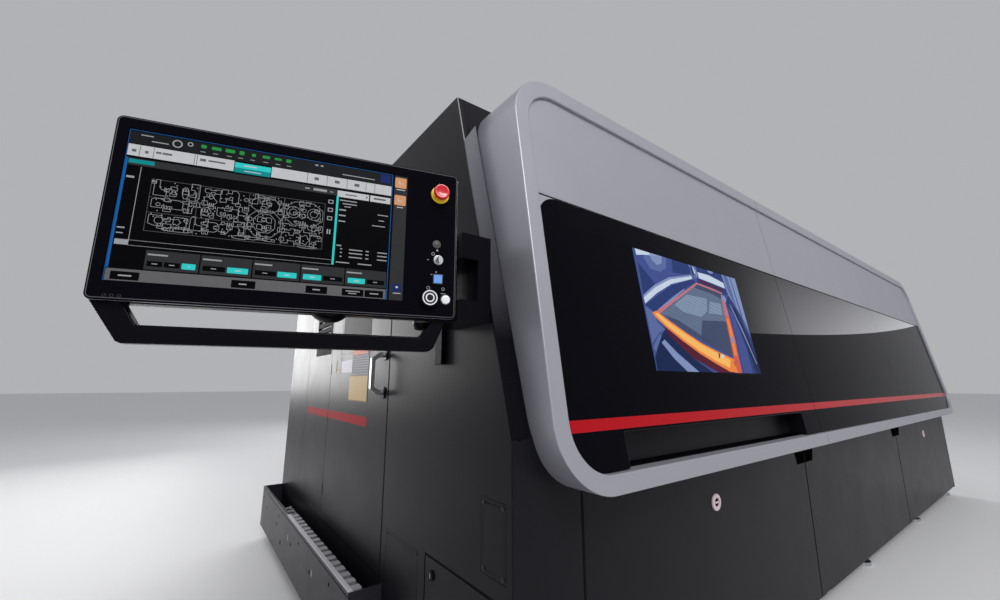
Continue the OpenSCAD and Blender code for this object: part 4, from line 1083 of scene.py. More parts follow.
fields([
    ("marks_light", "line", 6, 0, light),
    ("marks_grey", "grey", 5, 0, [
        (24, 120, 44, 136), (84, 120, 100, 136), (134, 114, 160, 126), (164, 114, 210, 126),
        (346, 112, 376, 128), (388, 114, 474, 124), (968, 112, 994, 132), (1090, 112, 1120, 132),
        (1212, 112, 1244, 132), (1160, 196, 1234, 204), (1290, 192, 1300, 204),
        (1340, 192, 1420, 204)]),
    ("marks_on_teal", "white", 6, 0, [(572, 110, 640, 118), (576, 146, 668, 151)] + bars(
        776, 782, (366, 372), (594, 622), (854, 880), (992, 1020), (1252, 1280))),
    ("status_marks", "green", 4, 0.0022, [
        (342, 22, 370, 44), (396, 24, 446, 44), (466, 22, 516, 44), (540, 20, 566, 46),
        (606, 24, 628, 44), (664, 24, 706, 42), (730, 26, 772, 40), (796, 22, 826, 44)]),
    ("drawing_tools", "line", 4, 0, ticks(30, 26, (1062, 252), (1062, 308), (1062, 366)) + [
        (1066, 454, 1074, 486), (1080, 454, 1088, 486), (966, 22, 984, 32),
        (998, 22, 1014, 32)]),
    ("drawing_tools_inside", "black", 5, 0, ticks(20, 16, (1067, 257), (1067, 313),
                                                  (1067, 371))),
    ("corner_key", "navy", 4, 0, [(1378, 12, 1442, 72)]),
])
for mark, (u, v, outer, inner) in enumerate(((227, 45, 0.0088, 0.0062),
                                             (289, 34, 0.005, 0.003))):
    piece = ring(*on_screen(u, v), outer, inner, LAYER, 24)
    finish_piece(on_console(piece, LINE_DEPTH), f"status_ring_{mark + 1}", "screen_line",
                 "console")
print("light marks:", len(light))

# %% [markdown]
# ## The nest of parts on the screen
# The drawing shows sheet-metal parts packed close together: brackets, flanges and plates as
# thin white outlines. Six outlines, turned and stretched, fill the sheet, and each is drawn
# with a line of the same width. Holes are dots.

# %% Outlines to repeat
LINE_WIDTH = 0.0008


def around(steps, radius, wave=0.0, teeth=0):
    """A circle, or a wavy round outline with some teeth."""
    return [((radius + wave * math.cos(teeth * a)) * math.cos(a),
             (radius + wave * math.cos(teeth * a)) * math.sin(a))
            for a in (2 * math.pi * i / steps for i in range(steps))]


patterns = {
    "bracket": [(-.5, -.5), (.5, -.5), (.5, -.1), (.1, -.1), (-.05, .05), (-.05, .5),
                (-.35, .5), (-.5, .3)],
    "notched": [(-.5, -.4), (-.15, -.4), (-.15, -.2), (.15, -.2), (.15, -.4), (.5, -.4),
                (.5, .3), (.35, .45), (.1, .45), (.1, .25), (-.1, .25), (-.1, .45),
                (-.4, .45), (-.5, .3)],
    "wavy": around(30, .42, .06, 5),
    "octagon": [(-.5, -.22), (-.25, -.5), (.25, -.5), (.5, -.22), (.5, .22), (.25, .5),
                (-.25, .5), (-.5, .22)],
    "comb": [(-.5, -.5), (.5, -.5), (.5, .1), (.38, .1), (.38, .5), (.26, .5), (.26, .1),
             (.06, .1), (.06, .5), (-.1, .5), (-.1, .1), (-.3, .1), (-.3, .5), (-.5, .5)],
    "round": around(26, .5),
}


def drawn_part(kind, u, v, wide, high, turns):
    """One outline at its size on the screen page, as a closed line of even width."""
    x, z = on_screen(u, v)
    points = []
    for a, b in patterns[kind]:
        for _ in range(turns):
            a, b = b, -a
        points.append((x + a * wide * PAGE_X, z + b * high * PAGE_Z))
    return hollow_out(outline(points[::-1] if turns % 2 else points), LINE_WIDTH)


print("outlines:", ", ".join(patterns))

# %% Fill the sheet
# Of each kind: middle on the page, width, height, quarter turns.
nest = {
    "bracket": [(182, 330, 62, 96, 0), (348, 330, 44, 100, 2), (646, 318, 46, 66, 3),
                (350, 424, 56, 78, 1), (596, 410, 50, 54, 0), (372, 520, 60, 84, 0),
                (584, 520, 60, 86, 2), (958, 470, 50, 52, 0), (1006, 548, 68, 80, 1)],
    "notched": [(244, 344, 40, 60, 1), (436, 308, 86, 34, 2), (520, 330, 96, 96, 0),
                (712, 300, 96, 24, 2), (714, 446, 78, 40, 0), (714, 492, 78, 40, 2),
                (224, 424, 150, 66, 0), (520, 430, 110, 66, 2), (238, 524, 180, 74, 2),
                (440, 530, 84, 60, 1), (700, 572, 160, 22, 0), (926, 306, 64, 34, 0),
                (870, 470, 110, 50, 2), (1010, 464, 64, 50, 0), (866, 544, 110, 84, 0)],
    "octagon": [(302, 344, 30, 70, 0), (566, 372, 30, 24, 0), (712, 350, 150, 96, 0),
                (714, 470, 176, 166, 0), (714, 468, 118, 120, 0), (196, 524, 40, 40, 0),
                (290, 572, 140, 22, 0), (926, 376, 222, 156, 0), (598, 574, 86, 22, 0),
                (960, 590, 110, 16, 0)],
    "wavy": [(424, 372, 78, 78, 0), (716, 340, 60, 60, 0), (412, 438, 56, 62, 0),
             (280, 524, 44, 44, 0), (512, 530, 74, 70, 0), (940, 544, 66, 70, 0)],
    "round": [(636, 450, 28, 28, 0), (636, 486, 28, 28, 0), (182, 430, 22, 22, 0),
              (566, 470, 26, 26, 0), (866, 370, 78, 78, 0), (866, 370, 44, 44, 0),
              (984, 370, 78, 78, 0), (984, 370, 44, 44, 0), (926, 352, 26, 26, 0),
              (926, 386, 26, 26, 0)],
}
parts = [(kind, *place) for kind, places in nest.items() for place in places]
for index in range(64):
    u = 150 + (index * 97) % 880
    v = 300 + (index * 53 + (index // 9) * 17) % 276
    kind = ("comb", "wavy", "notched", "bracket")[index % 4]
    parts.append((kind, u, v, 22 + (index * 7) % 20, 20 + (index * 5) % 22, index % 4))
drawing = join_pieces([drawn_part(*part) for part in parts])
finish_piece(on_console(drawing, LINE_DEPTH), "nested_parts", "screen_line", "console")
print("nested parts:", len(parts))

# %% Sheet outline, lines and holes of the nest
HOLES, HOLE_RADIUS = 150, 0.0011
fields([("sheet_outline", "grey", 5, 0, [
    (136, 283, 1046, 285), (136, 592, 1046, 594), (136, 283, 138, 594), (1044, 283, 1046, 594),
    (362, 288, 364, 590), (620, 288, 622, 590), (810, 288, 813, 590), (138, 392, 360, 394),
    (138, 482, 620, 484), (812, 452, 1044, 454)])])
holes = []
for index in range(HOLES):
    x, z = on_screen(146 + (index * 61.8) % 890, 292 + (index * 137.5 + index * index * 0.7) % 292)
    holes.append((x, 0, z))
finish_piece(on_console(copies_of(circle(0, 0, HOLE_RADIUS, 8), holes), LINE_DEPTH - 0.00004),
             "nested_holes", "screen_line", "console")
print("holes:", len(holes))

# %% Keys beside the screen
fields([
    ("side_strip", "bar", 1, 0, [(1472, 4, 1560, 888)]),
    ("side_keys", "amber", 2, 0.003, [(1476, 16, 1553, 92), (1476, 146, 1553, 220)]),
    ("side_key_marks", "white", 3, 0, [(1500, 40, 1506, 62), (1500, 56, 1528, 62),
                                       (1500, 170, 1506, 192), (1500, 186, 1528, 192),
                                       (1486, 102, 1544, 108), (1494, 232, 1536, 238)]),
    ("side_key_blue", "navy", 2, 0.004, [(1492, 778, 1547, 830)]),
    ("side_key_blue_mark", "white", 3, 0.002, [(1512, 792, 1528, 806), (1496, 838, 1546, 843)]),
], depth=0.0)

# %% [markdown]
# ## Buttons and switches
# Real controls are turned and moulded parts: a domed mushroom on a yellow ring, a key switch
# in a plated collar, a lit square key, a dial with two white rings, a round white key. Each
# stands for the CAD node that moves, so it is pressed or turned with it. The round ones are
# turned parts: a half outline is spun round the button's axis.

# %% Round controls
CONTROLS = {"stop": (0.304, 0.127), "key": (0.304, -0.044), "start": (0.304, -0.092),
            "dial": (0.284, -0.141), "reset": (0.324, -0.141), "pilot": (0.299, -0.004)}
# Each: the control, its finish, its body, the node that it stands for, and its half outline.
turned_parts = {
    "stop_mushroom": ("stop", "red_plastic", "stop_button", "stop_button", [
        (0, 0.0215), (0.006, 0.0212), (0.011, 0.0222), (0.015, 0.0238), (0.018, 0.0232),
        (0.0196, 0.0210), (0.0200, 0.0180), (0.0194, 0.0150), (0.0170, 0.0118),
        (0.0120, 0.0092), (0.0080, 0.0084), (0.0079, -0.020), (0, -0.020)]),
    "stop_ring": ("stop", "yellow_plastic", "console", None, [
        (0.0092, 0.0), (0.0092, 0.0010), (0.0105, 0.0016), (0.0215, 0.0016), (0.0226, 0.0010),
        (0.0228, 0.0)]),
    "key_collar": ("key", "zinc", "console", None, [
        (0.0104, 0.0), (0.0104, 0.0022), (0.0108, 0.0028), (0.0118, 0.0026), (0.0123, 0.0014),
        (0.0125, 0.0)]),
    "dial_body": ("dial", "collar_black", "feed_dial", "feed_dial", [
        (0, 0.0142), (0.0070, 0.0142), (0.0074, 0.0150), (0.0180, 0.0150), (0.0189, 0.0142),
        (0.0190, 0.0030), (0.0184, 0.0008), (0.0080, 0.0006), (0.0079, -0.018), (0, -0.018)]),
    "reset_cap": ("reset", "white_plastic", "reset_button", "reset_button", [
        (0, 0.0064), (0.006, 0.0063), (0.0094, 0.0058), (0.0106, 0.0048), (0.0109, 0.0036),
        (0.0109, -0.028), (0, -0.028)]),
    "reset_collar": ("reset", "collar_black", "console", None, [
        (0.0113, 0.0), (0.0113, 0.0012), (0.0120, 0.0018), (0.0134, 0.0016), (0.0140, 0.0)]),
    "pilot_light": ("pilot", "mark_dim", "console", None, [
        (0, 0.0016), (0.0056, 0.0015), (0.0066, 0.0008), (0.0070, 0.0020), (0.0098, 0.0018),
        (0.0104, 0.0)]),
}


def control_place(control):
    x, z = CONTROLS[control]
    return ON_CONSOLE @ shift(x, 0, z)


for name, (control, finish, body, node, profile) in turned_parts.items():
    piece = finish_piece(spun(profile, control_place(control)), name, finish, body)
    if node:
        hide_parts(node)
print("turned parts:", len(turned_parts))

# %% Rings of the dial
dial_rings = [[(0.0150, 0.0150), (0.0152, 0.0158), (0.0176, 0.0158), (0.0180, 0.0150)],
              [(0.0076, 0.0150), (0.0078, 0.0158), (0.0106, 0.0158), (0.0108, 0.0150)]]
dial_rings = join_pieces([spun(profile, control_place("dial")) for profile in dial_rings])
finish_piece(dial_rings, "dial_rings", "white_plastic", "feed_dial")
print("dial rings out to 18 mm")

# %% Key switch, and the lit start key in its frame
KEY_HALF, FRAME_HALF = 0.0103, 0.0128
finishes["key_blue"] = lit("key_blue", (0.16, 0.36, 0.80))
soften("key_switch", 0.0006, 2)
wear(soften("start_button", 0.0015, 3), "key_blue")
x, z = CONTROLS["start"]
start_frame = plate(x - FRAME_HALF, z - FRAME_HALF, x + FRAME_HALF, z + FRAME_HALF, 0.0030,
                    0.002, 0.0006)
cut_away(start_frame, plate(x - KEY_HALF, z - KEY_HALF, x + KEY_HALF, z + KEY_HALF, 0.02))
finish_piece(on_console(start_frame), "start_frame", "collar_black", "console")
print("start key is 20 mm square")

# %% Marks round the controls
MARK = 0.0001
marks = [disc(x, z, size, MARK, steps=20)
         for x, z, size in ((0.301, -0.019, 0.0026), (0.300, -0.0738, 0.0018))]
marks += [ring(x, z, size, size * 0.72, MARK, 20)
          for x, z, size in ((0.291, -0.029, 0.0042), (0.282, -0.1145, 0.0042),
                             (0.318, -0.1150, 0.0040))]
marks += [plate(*box, MARK) for box in ((0.286, -0.0815, 0.312, -0.0802),
                                        (0.312, -0.1268, 0.325, -0.1254),
                                        (0.277, -0.0455, 0.281, -0.0440))]
finish_piece(on_console(join_pieces(marks)), "control_marks", "mark_pale", "console")
small = [ring(-0.319 + 0.011 * i, -0.1785, 0.0032, 0.0022, MARK, 16) for i in range(3)]
finish_piece(on_console(join_pieces(small)), "service_marks", "mark_faint", "console")
print("marks:", len(marks) + len(small))

# %% [markdown]
# ## Round the console's edge and under it
# A thin bright band closes the joint between the bezel and the case. It is a painted highlight:
# it draws the console's outline from below, as light catching the edge would. Under the case hang
# two small black things: a shallow dome and a cup that covers a port. Both are spun round an
# upright axis.

# %% Bright band, a painted highlight
BAND_X, BAND_Z, BAND_WALL, BAND_DEEP = 0.3503, 0.1873, 0.0004, 0.0040
inner_x, inner_z = BAND_X - BAND_WALL, BAND_Z - BAND_WALL
band = plate(-BAND_X, -BAND_Z, BAND_X, BAND_Z, BAND_DEEP, 0.0123)
cut_away(band, settle(plate(-inner_x, -inner_z, inner_x, inner_z, 0.02, 0.0119),
                      shift(y=0.008)))
finish_piece(on_console(band, 0.0078), "bezel_highlight_band", "zinc", "console")
print("band", BAND_DEEP, "deep")

# %% Dome and cup under the case
CASE_FOOT = -0.183
CUP_PLACE = (0.283, 0.068)
hung = {
    "case_dome": ("black_coat", (0.067, 0.050), [
        (0, 0.0205), (0.010, 0.0200), (0.020, 0.0175), (0.029, 0.0125), (0.036, 0.0060),
        (0.040, 0.0), (0, 0.0)]),
    "port_cup": ("black_coat", CUP_PLACE, [
        (0, 0.0260), (0.012, 0.0255), (0.018, 0.0225), (0.0215, 0.0160), (0.0225, 0.0060),
        (0.0225, 0.0), (0, 0.0)]),
    "port_rim": ("mark_pale", CUP_PLACE, [
        (0.0224, 0.0085), (0.0232, 0.0085), (0.0232, 0.0070), (0.0224, 0.0070)]),
}
for name, (finish, (x, y), profile) in hung.items():
    piece = spun(profile, ON_CONSOLE @ shift(x, y, CASE_FOOT) @ turned(90, "X"), 40)
    finish_piece(piece, name, finish, "console")
print("hung under the case:", ", ".join(hung))

# %% Painted highlight on the rim of the bezel
# The edge of the bezel's glass shows as a thin grey line: a painted highlight, light catching the
# edge.
RIM_X, RIM_Z, RIM_WIDE = 0.3467, 0.1837, 0.0013
rim = hollow_out(sheet(-RIM_X, -RIM_Z, RIM_X, RIM_Z, 0.0087, 6), RIM_WIDE)
finish_piece(on_console(thicken(rim, 0.0001)), "bezel_rim_highlight", "rim_highlight_grey", "console")
print("bezel rim done")

# %% [markdown]
# ## The left end
# A red stripe runs on from the front round the left end, over the fixed panel and the door.
# Blank plates hang beside the grip: a real machine has its notices there, and here they carry
# no lettering. The door has a dark pane, and the fixed panel has louvres in a dark field.

# %% Flat pieces on the left end
LEFT_FACE = -2.763
TO_LEFT = shift(LEFT_FACE) @ turned(-90, "Z")


def left_plates(boxes, proud, radius=0.0, edge=0.0, sunk=0.0):
    """Plates (y0, y1, z0, z1) on the left end as one piece, its back sunk below the surface."""
    pieces = [plate(-y1, z0, -y0, z1, proud, radius, edge) for y0, y1, z0, z1 in boxes]
    return settle(join_pieces(pieces), TO_LEFT @ shift(y=sunk))


print("left end at", LEFT_FACE)

# %% Rounded front edge of the wall
# The wall's front corner is the fold of the sheet. Towards the top a highlight is painted on it,
# and shows there as a thin light line.
# The wall's front is upright up to a height, and leans back above it.
FOLD_EDGE, FOLD_LOW = 0.004, 0.95
WALL_FRONT, LEAN_START, LEAN = -1.401, 0.933, 0.268


def on_front_fold(point):
    front = WALL_FRONT + max(0, point.z - LEAN_START) * LEAN
    return point.x < LEFT_FACE + 0.0003 and point.y < front


wall = clean_copy("left_wall", whole=False)
folded = round_chosen(wall, on_front_fold, FOLD_EDGE)
stand_for(wall, "left_wall")
wall.data.materials.append(finishes["fold_painted_highlight"])
fold_faces = [face for face in wall.data.polygons if -0.96 < face.normal.x < -0.25
              and face.normal.y < -0.2 and face.center.z > FOLD_LOW]
for face in fold_faces:
    face.material_index = 1
print("wall edges rounded:", folded, "faces on the fold:", len(fold_faces))

# %% Stripe, blank plates, pane and louvre field
STRIPE_Z = (0.884, 0.926)
rules = [(-0.327, -0.324, 1.123, 1.243), (-0.327, -0.088, 1.120, 1.123)]
rules += [(-0.316, -0.100, 1.134 + 0.012 * i, 1.1365 + 0.012 * i) for i in range(7)]
amber = [(0.108, 0.196, 1.129, 1.1315), (0.108, 0.1105, 1.131, 1.215),
         (0.193, 0.196, 1.131, 1.200), (0.130, 0.172, 1.150, 1.156)]
# The recess in the door is filled flush round the pane.
surround = [(-0.3365, 0.1225, 1.2605, 1.7195), (-0.3365, 0.1225, 1.2305, 1.2598)]
field = [(0.326, 0.686, 1.246, 1.295), (0.326, 0.366, 1.295, 1.789),
         (0.666, 0.686, 1.295, 1.789)]
field += [(0.366, 0.666, 1.309 + 0.04 * i, 1.335 + 0.04 * i) for i in range(12)]
# Each piece: its finish, its body, its boxes, and how far it stands proud, then the radius of
# its corners, the radius of its edge and how far its back is sunk.
DOOR, WALL = "side_door", "machine_body"
left_pieces = {
    "end_stripe_door": ("stripe_red", DOOR, [(-0.336, 0.3015, *STRIPE_Z)], FILM),
    "end_stripe_panel": ("stripe_red", WALL, [(0.3075, 0.800, *STRIPE_Z)], FILM),
    "plate_low_edge": ("plate_tan_edge", DOOR, [(-0.327, -0.050, 0.990, 1.117)],
                       0.0012, 0.002, 0.0003),
    "plate_low": ("plate_tan", DOOR, [(-0.321, -0.056, 0.996, 1.111)], 0.0016, 0.001),
    "plate_middle": ("plate_grey", DOOR, [(-0.327, -0.088, 1.123, 1.217)], 0.0012, 0.001),
    "plate_head": ("plate_orange", DOOR, [(-0.310, -0.088, 1.217, 1.243)], 0.0012),
    "plate_side": ("plate_white", DOOR, [(-0.083, 0.103, 1.131, 1.195)], 0.0012, 0.001),
    "plate_rules": ("plate_lines", DOOR, rules, 0.0014),
    "plate_outline": ("plate_amber", DOOR, amber, 0.0012),
    "pane_surround": ("charcoal_paint", DOOR, surround, 0.0032, 0.0, 0.0, 0.0038),
    "pane": ("pane_dark", DOOR, [(-0.334, 0.103, 1.302, 1.712)], 0.0006, 0.006, 0.0, 0.0007),
    "louvre_field": ("vent_black", WALL, field, 0.0004),
    "edge_guard": ("vent_black", WALL, [(-1.018, -0.979, 1.138, 1.330)], 0.0012, 0.002),
    "grip_lug": ("black_coat", DOOR, [(-0.553, -0.497, 1.174, 1.262)], 0.006, 0.014, 0.002),
    "grip_foot": ("black_coat", DOOR, [(-0.545, -0.505, 1.014, 1.062)], 0.006, 0.012, 0.002),
}
for name, (finish, body, boxes, *sizes) in left_pieces.items():
    finish_piece(left_plates(boxes, *sizes), name, finish, body)
print("pieces on the left end:", len(left_pieces))

# %% [markdown]
# ## Grip of the side door
# The grip is a cast D with a silver outer bar. Its feet and the lug that carries the lock are
# black plastic: they are among the flat pieces above, and close round the CAD's bar.

# %% Grip
soften("side_door_grip", 0.003, 3, 40, whole=False)
print("grip done")

# %% [markdown]
# ## Cable tray and its chain
# The tray is folded sheet with a few holes and two slots in its outer side. In it lies an
# energy chain: pale plastic links that hinge on each other and guide the cables when the
# machine's table moves. One link is modelled, and its copies follow each other along the tray.

# %% Tray
TRAY_FACE, MARK_PROUD = -2.888, 0.0003
TO_TRAY = shift(TRAY_FACE) @ turned(-90, "Z")
TRAY_HOLES = ((1.306, 0.282, 0.008), (0.742, 0.283, 0.009), (0.638, 0.164, 0.013),
              (0.189, 0.283, 0.008), (-0.366, 0.286, 0.008))
soften("side_tray", 0.0012, 2, whole=False)
# The holes and the line under the tray's lip are painted shade: near-black films where shade falls
# in the holes and under the folded lip.
tray_marks = {
    "tray_holes": ("painted_shade_black", [disc(-y, z, radius, MARK_PROUD, steps=24)
                                  for y, z, radius in TRAY_HOLES]),
    "tray_slots": ("mark_pale", [plate(x - 0.004, 0.226, x + 0.004, 0.254, MARK_PROUD, 0.003)
                                 for y in (0.449, -0.096) for x in (-y - 0.007, -y + 0.007)]),
    "tray_lip_shadow": ("painted_shade_black", [plate(-1.380, 0.3235, 0.604, 0.3270, MARK_PROUD)]),
}
for name, (finish, pieces) in tray_marks.items():
    finish_piece(settle(join_pieces(pieces), TO_TRAY), name, finish)
print("tray marks:", ", ".join(tray_marks))

# %% Upper links of the chain
CHAIN_START, CHAIN_END, LINKS = -0.604, 0.512, 17
LINK_PITCH = (CHAIN_END - CHAIN_START) / LINKS
rail = block((-2.8877, CHAIN_START, 0.3402), (-2.8690, CHAIN_END, 0.3440), 0.0012)
rail_wall = block((-2.8835, CHAIN_START, 0.300), (-2.8695, CHAIN_END, 0.3402), 0.001)
finish_piece(join_pieces([rail, rail_wall]), "chain_rail", "rail_plastic")
belly = block((-2.8690, CHAIN_START, 0.300), (-2.8330, CHAIN_END, 0.3270), 0.003)
finish_piece(belly, "chain_belly", "belly_plastic")
pad = settle(plate(-2.8688, -0.020, -2.8310, 0.020, 0.013, 0.006, 0.002),
             shift(z=0.327) @ turned(-90, "X"))
links = copies_of(pad, [(0, CHAIN_START + LINK_PITCH * (i + 0.5), 0) for i in range(LINKS)])
finish_piece(links, "chain_links", "chain_plastic")
print("links:", LINKS)

# %% [markdown]
# ## Lower doors and their locks
# The doors are folded sheet with small radii. Each front lock has a dished head: a pale ring
# round a dark dish, with a bar across it for the key. The lock heads are spun, as on a lathe.

# %% Folded edges
FOLD_RADII = {
    0.0012: ["lower_door_left", "lower_door_mid", "lower_door_right", "side_door", "side_hatch",
             "rear_door"],
    0.0006: ["side_covers"], 0.001: ["base_frame"], 0.002: ["fascia_side_trims"],
    0.0008: ["grip_tray"],
}
for radius, names in FOLD_RADII.items():
    for node in names:
        soften(node, radius, 2, 50, whole=False)
print("folded edges rounded")

# %% Rubber seals in the seams, with painted shade
# The black strips beside each seam are rubber seals and also painted shade: they widen the dark of
# the gaps as the shade in them would.
TO_FRONT = shift(y=-1.403)
seals = [plate(x + start, 0.090, x + start + 0.0030, 0.775, 0.0004)
         for x in (-2.516, -0.9, 0.9) for start in (-0.0048, 0.0018)]
finish_piece(settle(join_pieces(seals), TO_FRONT), "front_seals_and_gap_shade", "vent_black")
side_seals_and_gap_shade = left_plates([(-0.5800, -0.5735, 0.350, 1.905), (-1.3230, -1.3205, 0.115, 0.545),
                          (-1.3230, -0.9465, 0.5435, 0.5475), (-0.9485, -0.9460, 0.115, 0.545)],
                         0.0004)
finish_piece(side_seals_and_gap_shade, "side_seals_and_gap_shade", "vent_black")
print("seals done")

# %% Front locks
LOCK_Z = 0.642
lock_head = [(0.0, 0.0023), (0.0150, 0.0023), (0.0158, 0.0030), (0.0160, 0.0062),
             (0.0185, 0.0068), (0.0262, 0.0066), (0.0288, 0.0056), (0.0296, 0.0044),
             (0.0296, 0.0)]
for side, x in (("left", -1.798), ("right", 1.800)):
    body = body_of["door_lock_" + side]
    place = TO_FRONT @ shift(x, 0, LOCK_Z)
    finish_piece(spun(lock_head, place), "lock_ring_" + side, "lock_ring", body)
    dish = disc(0, 0, 0.0150, 0.0004)
    finish_piece(settle(dish, place @ shift(y=-0.0024)), "lock_dish_" + side, "vent_black", body)
    key_bar = plate(-0.0122, -0.0031, 0.0122, 0.0031, 0.0040, 0.001, 0.0004)
    finish_piece(settle(key_bar, place @ shift(y=-0.0025)), "lock_bar_" + side, "lock_ring",
                 body)
print("front locks done")

# %% Lock of the small hatch and of the side door
LOCK_PROUD = 0.0062
small_lock = [(0.0, LOCK_PROUD), (0.0100, LOCK_PROUD), (0.0128, LOCK_PROUD - 0.0008),
              (0.0150, LOCK_PROUD - 0.003), (0.0152, 0.0)]
for node, y, z in (("hatch_lock", -0.997, 0.495), ("side_door_lock", -0.525, 1.226)):
    place = TO_LEFT @ shift(-y, 0, z)
    finish_piece(spun(small_lock, place, 40), node + "_face", "black_coat", body_of[node])
    key = settle(plate(-0.0016, -0.007, 0.0016, 0.007, 0.0006, 0.0005),
                 place @ shift(y=-LOCK_PROUD))
    finish_piece(key, node + "_slot", "mark_pale", body_of[node])
print("small locks done")

# %% [markdown]
# ## Back, right end and roof
# The back is made of flat panels that are screwed on. Its door has a latch and two fields of
# louvres for the cooling air. The exhaust collar carries a hose clamp. The right end and the
# roof have plain panel joints, cut as real grooves, because nothing may stand out there.

# %% Flat pieces on the back
TO_BACK = shift(y=1.403) @ turned(180, "Z")
JOINT_HALF = 0.0015
SCREW_X = (-2.72, -2.14, -2.06, -1.44, -1.36, 0.86, 0.94, 1.86, 1.94, 2.72)
SCREW_Z = (0.12, 0.75, 1.4, 2.06)


def on_back(piece, depth=0.0):
    return settle(piece, TO_BACK @ shift(y=depth))


back_joints = [plate(-x - JOINT_HALF, 0.084, -x + JOINT_HALF, 2.102, 0.0003)
               for x in (-2.1, -1.4, 0.9, 1.9)]
finish_piece(on_back(join_pieces(back_joints)), "back_joints", "vent_black")
screws = copies_of(disc(0, 0, 0.0075, 0.003, 0.001, 16),
                   [(-x, 0, z) for x in SCREW_X for z in SCREW_Z])
finish_piece(on_back(screws), "back_screws", "zinc")
print("back screws:", len(SCREW_X) * len(SCREW_Z))

# %% Louvres and latch of the back door
louvre_places = [(column, 0, start + 0.030 * i) for start in (0.34, 1.55) for i in range(9)
                 for column in (0.05, 0.43)]
louvres = copies_of(block((-0.15, -0.007, -0.006), (0.15, 0, 0.006), 0.004), louvre_places)
mouths = copies_of(plate(-0.146, -0.013, 0.146, -0.006, 0.0003), louvre_places)
latch_plate = plate(-0.165, 0.985, -0.125, 1.135, 0.004, 0.008, 0.001)
latch = plate(-0.157, 1.000, -0.133, 1.085, 0.009, 0.004, 0.002)
for name, finish, piece in (("back_louvres", "charcoal_paint", louvres),
                            ("back_louvre_mouths", "vent_black", mouths),
                            ("back_latch_plate", "black_coat", latch_plate),
                            ("back_latch", "zinc", latch)):
    finish_piece(on_back(piece), name, finish, "rear_door")
print("louvres:", len(louvre_places))

# %% Clamp, glands and blank plate
clamp_profile = [(0.1003, 0.060), (0.1035, 0.060), (0.1045, 0.0625), (0.1045, 0.0705),
                 (0.1035, 0.073), (0.1003, 0.073)]
finish_piece(spun(clamp_profile, TO_BACK @ shift(-1.500, 0, 0.500), 64), "exhaust_clamp", "zinc")
glands = [ring(-2.400, 0.480, 0.034, 0.0255, 0.010, 32),
          ring(-2.240, 0.550, 0.017, 0.011, 0.010, 32)]
finish_piece(on_back(join_pieces(glands), -0.006), "service_glands", "black_coat")
finish_piece(on_back(plate(-2.50, 0.70, -2.32, 0.80, 0.0015, 0.004, 0.0004)), "blank_plate",
             "zinc")
print("back fittings done")

# %% Grooves on the right end and the roof
def grooved(node, cuts):
    """Let a copy of a node with thin boxes cut out of it stand for the node."""
    copy = clean_copy(node, whole=False)
    cut_away(copy, join_pieces([block(low, high) for low, high in cuts]))
    choose(copy)
    bpy.ops.object.shade_flat()
    stand_for(copy, node)


SCREW_HALF = 0.006
right_cuts = [((2.760, y - JOINT_HALF, 0.07), (2.77, y + JOINT_HALF, 2.12))
              for y in (-0.98, 0.62)]
right_cuts += [((2.7605, y - SCREW_HALF, z - SCREW_HALF), (2.77, y + SCREW_HALF, z + SCREW_HALF))
               for y in (-0.94, 0.58, 0.66, 1.36) for z in (0.12, 0.70, 1.40, 2.04)]
roof_cuts = [((x - JOINT_HALF, -1.2, 2.1035), (x + JOINT_HALF, 1.5, 2.11))
             for x in (-1.83, 0.0, 1.83)]
grooved("right_wall", right_cuts)
grooved("roof_panels", roof_cuts)
print("grooves cut:", len(right_cuts) + len(roof_cuts))

# %% Lifting points on the roof, and the sill beside the first lower door
ROOF_Z = 2.106
lifting_places = [(x, y, 0) for x in (-2.55, -0.98, 0.98, 2.55) for y in (-0.70, 1.25)]
washer = settle(disc(0, 0, 0.034, 0.005, 0.0015, 32), shift(z=ROOF_Z) @ turned(-90, "X"))
plug = settle(disc(0, 0, 0.016, 0.009, 0.001, 6), shift(z=ROOF_Z + 0.004) @ turned(-90, "X"))
finish_piece(copies_of(join_pieces([washer, plug]), lifting_places), "lifting_plugs", "zinc")
finish_piece(block((-2.7625, -1.4028, 0.779), (-2.519, -1.392, 0.7925)), "corner_sill",
             "charcoal_paint")
print("lifting plugs:", len(lifting_places))

# %% [markdown]
# ## Inside the machine
# The inside shows when the door is lifted. The pallet's slats get the teeth that carry the
# sheet on points. The hollow beam is closed by bolted caps and carries an energy chain. The
# cutting head gets its rings, its nozzle nut and its window drawer. Each size is read from the
# CAD node that the piece belongs to.

# %% Toothed slats
SLATS, TOOTH, SLAT_THICK = 42, 0.052, 0.004


def extent(node):
    """Lowest and highest corner of a CAD node."""
    corners = [nodes[node].matrix_world @ Vector(c) for c in nodes[node].bound_box]
    return [Vector([pick(c[i] for c in corners) for i in range(3)]) for pick in (min, max)]


low, high = extent("pallet_slats")
teeth = int((high.y - low.y) / TOOTH)
pitch = (high.y - low.y) / teeth
root_z, tip_z = high.z - 0.026, high.z - 0.0005
profile = [(low.y, low.z), (high.y, low.z)]
for index in range(teeth):
    right = high.y - index * pitch
    profile += [(right, root_z), (right - pitch * 0.40, tip_z), (right - pitch * 0.60, tip_z)]
profile.append((low.y, root_z))
blade = settle(thicken(outline(profile), SLAT_THICK), turned(90, "Z"))
step = (high.x - low.x - SLAT_THICK) / (SLATS - 1)
slats = copies_of(blade, [(low.x + step * index, 0, 0) for index in range(SLATS)])
finish_piece(slats, "toothed_slats", "slat_steel", "pallet")
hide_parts("pallet_slats")
print("slats:", SLATS, "teeth on each:", teeth)

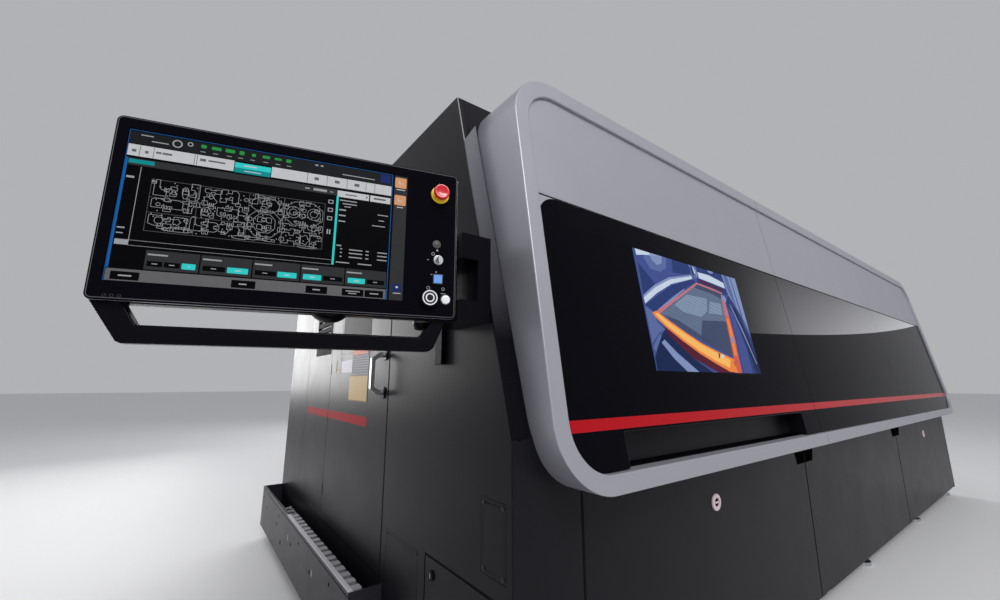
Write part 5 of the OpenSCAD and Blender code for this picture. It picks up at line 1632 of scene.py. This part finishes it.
# %% Beam caps and energy chain
BEAM_PITCH, CAP_GAP = 0.044, 0.004
low, high = extent("gantry_beam")
cap = block((low.x + CAP_GAP, -0.003, low.z + CAP_GAP),
            (high.x - CAP_GAP, 0.003, high.z - CAP_GAP), 0.001)
caps = copies_of(cap, [(0, low.y + CAP_GAP, 0), (0, high.y - CAP_GAP, 0)])
finish_piece(caps, "beam_caps", "grey_paint", "gantry")
x, z = (low.x + high.x) / 2, high.z
link = join_pieces([
    block((x - 0.05, -0.020, z + 0.001), (x - 0.038, 0.020, z + 0.036), 0.003),
    block((x + 0.038, -0.020, z + 0.001), (x + 0.05, 0.020, z + 0.036), 0.003),
    block((x - 0.038, -0.008, z + 0.026), (x + 0.038, 0.008, z + 0.032), 0.002)])
count = int((high.y - low.y - 0.2) / BEAM_PITCH)
chain = copies_of(link, [(0, low.y + 0.12 + BEAM_PITCH * index, 0) for index in range(count)])
finish_piece(chain, "beam_chain", "black_coat", "gantry")
print("beam chain links:", count)

# %% Cutting head
low, high = extent("nozzle")
axis_x, axis_y, tip = (low.x + high.x) / 2, (low.y + high.y) / 2, high.z


def head_ring(radius, height, thick, bulge):
    """A ring round the head's tube, spun round an upright axis."""
    profile = [(radius - 0.001, 0), (radius + bulge, 0.0015), (radius + bulge, thick - 0.0015),
               (radius - 0.001, thick)]
    return spun(profile, shift(axis_x, axis_y, tip + height) @ turned(-90, "X"), 40)


head_rings = [head_ring(0.042, height, 0.010, 0.003) for height in (0.075, 0.150, 0.245)]
finish_piece(join_pieces(head_rings), "head_rings", "zinc", "head")
finish_piece(head_ring(0.026, 0.010, 0.030, 0.004), "nozzle_nut", "black_coat", "head")
drawer = block((axis_x + 0.030, axis_y - 0.022, tip + 0.100),
               (axis_x + 0.0475, axis_y + 0.022, tip + 0.135), 0.002)
finish_piece(drawer, "window_drawer", "copper", "head")
print("head axis at", round(axis_x, 3), round(axis_y, 3))

# %% Cabinets
# The laser source is opened from the back, and the control cabinet from the front.
SEAM_PROUD, VENT_HALF, VENT_HIGH, VENT_PITCH = 0.0004, 0.07, 0.008, 0.022
for node, turn in (("laser_source", 180), ("control_cabinet", 0)):
    low, high = extent(node)
    side, face_y = (-1, high.y) if turn else (1, low.y)
    place = shift(y=face_y) @ turned(turn, "Z")
    middle, quarter = side * (low.x + high.x) / 2, (high.x - low.x) / 4
    seams = [plate(middle - JOINT_HALF, low.z + 0.03, middle + JOINT_HALF, high.z - 0.03,
                   SEAM_PROUD)]
    seams += [plate(x - VENT_HALF, z, x + VENT_HALF, z + VENT_HIGH, SEAM_PROUD)
              for z in (high.z - 0.16 - VENT_PITCH * i for i in range(6))
              for x in (middle - quarter, middle + quarter)]
    finish_piece(settle(join_pieces(seams), place), node + "_seams", "vent_black")
    z = (low.z + high.z) / 2
    grips = [plate(x - 0.010, z - 0.06, x + 0.010, z + 0.06, 0.006, 0.006, 0.001)
             for x in (middle - 0.035, middle + 0.035)]
    finish_piece(settle(join_pieces(grips), place), node + "_grips", "black_coat")
print("cabinets done")
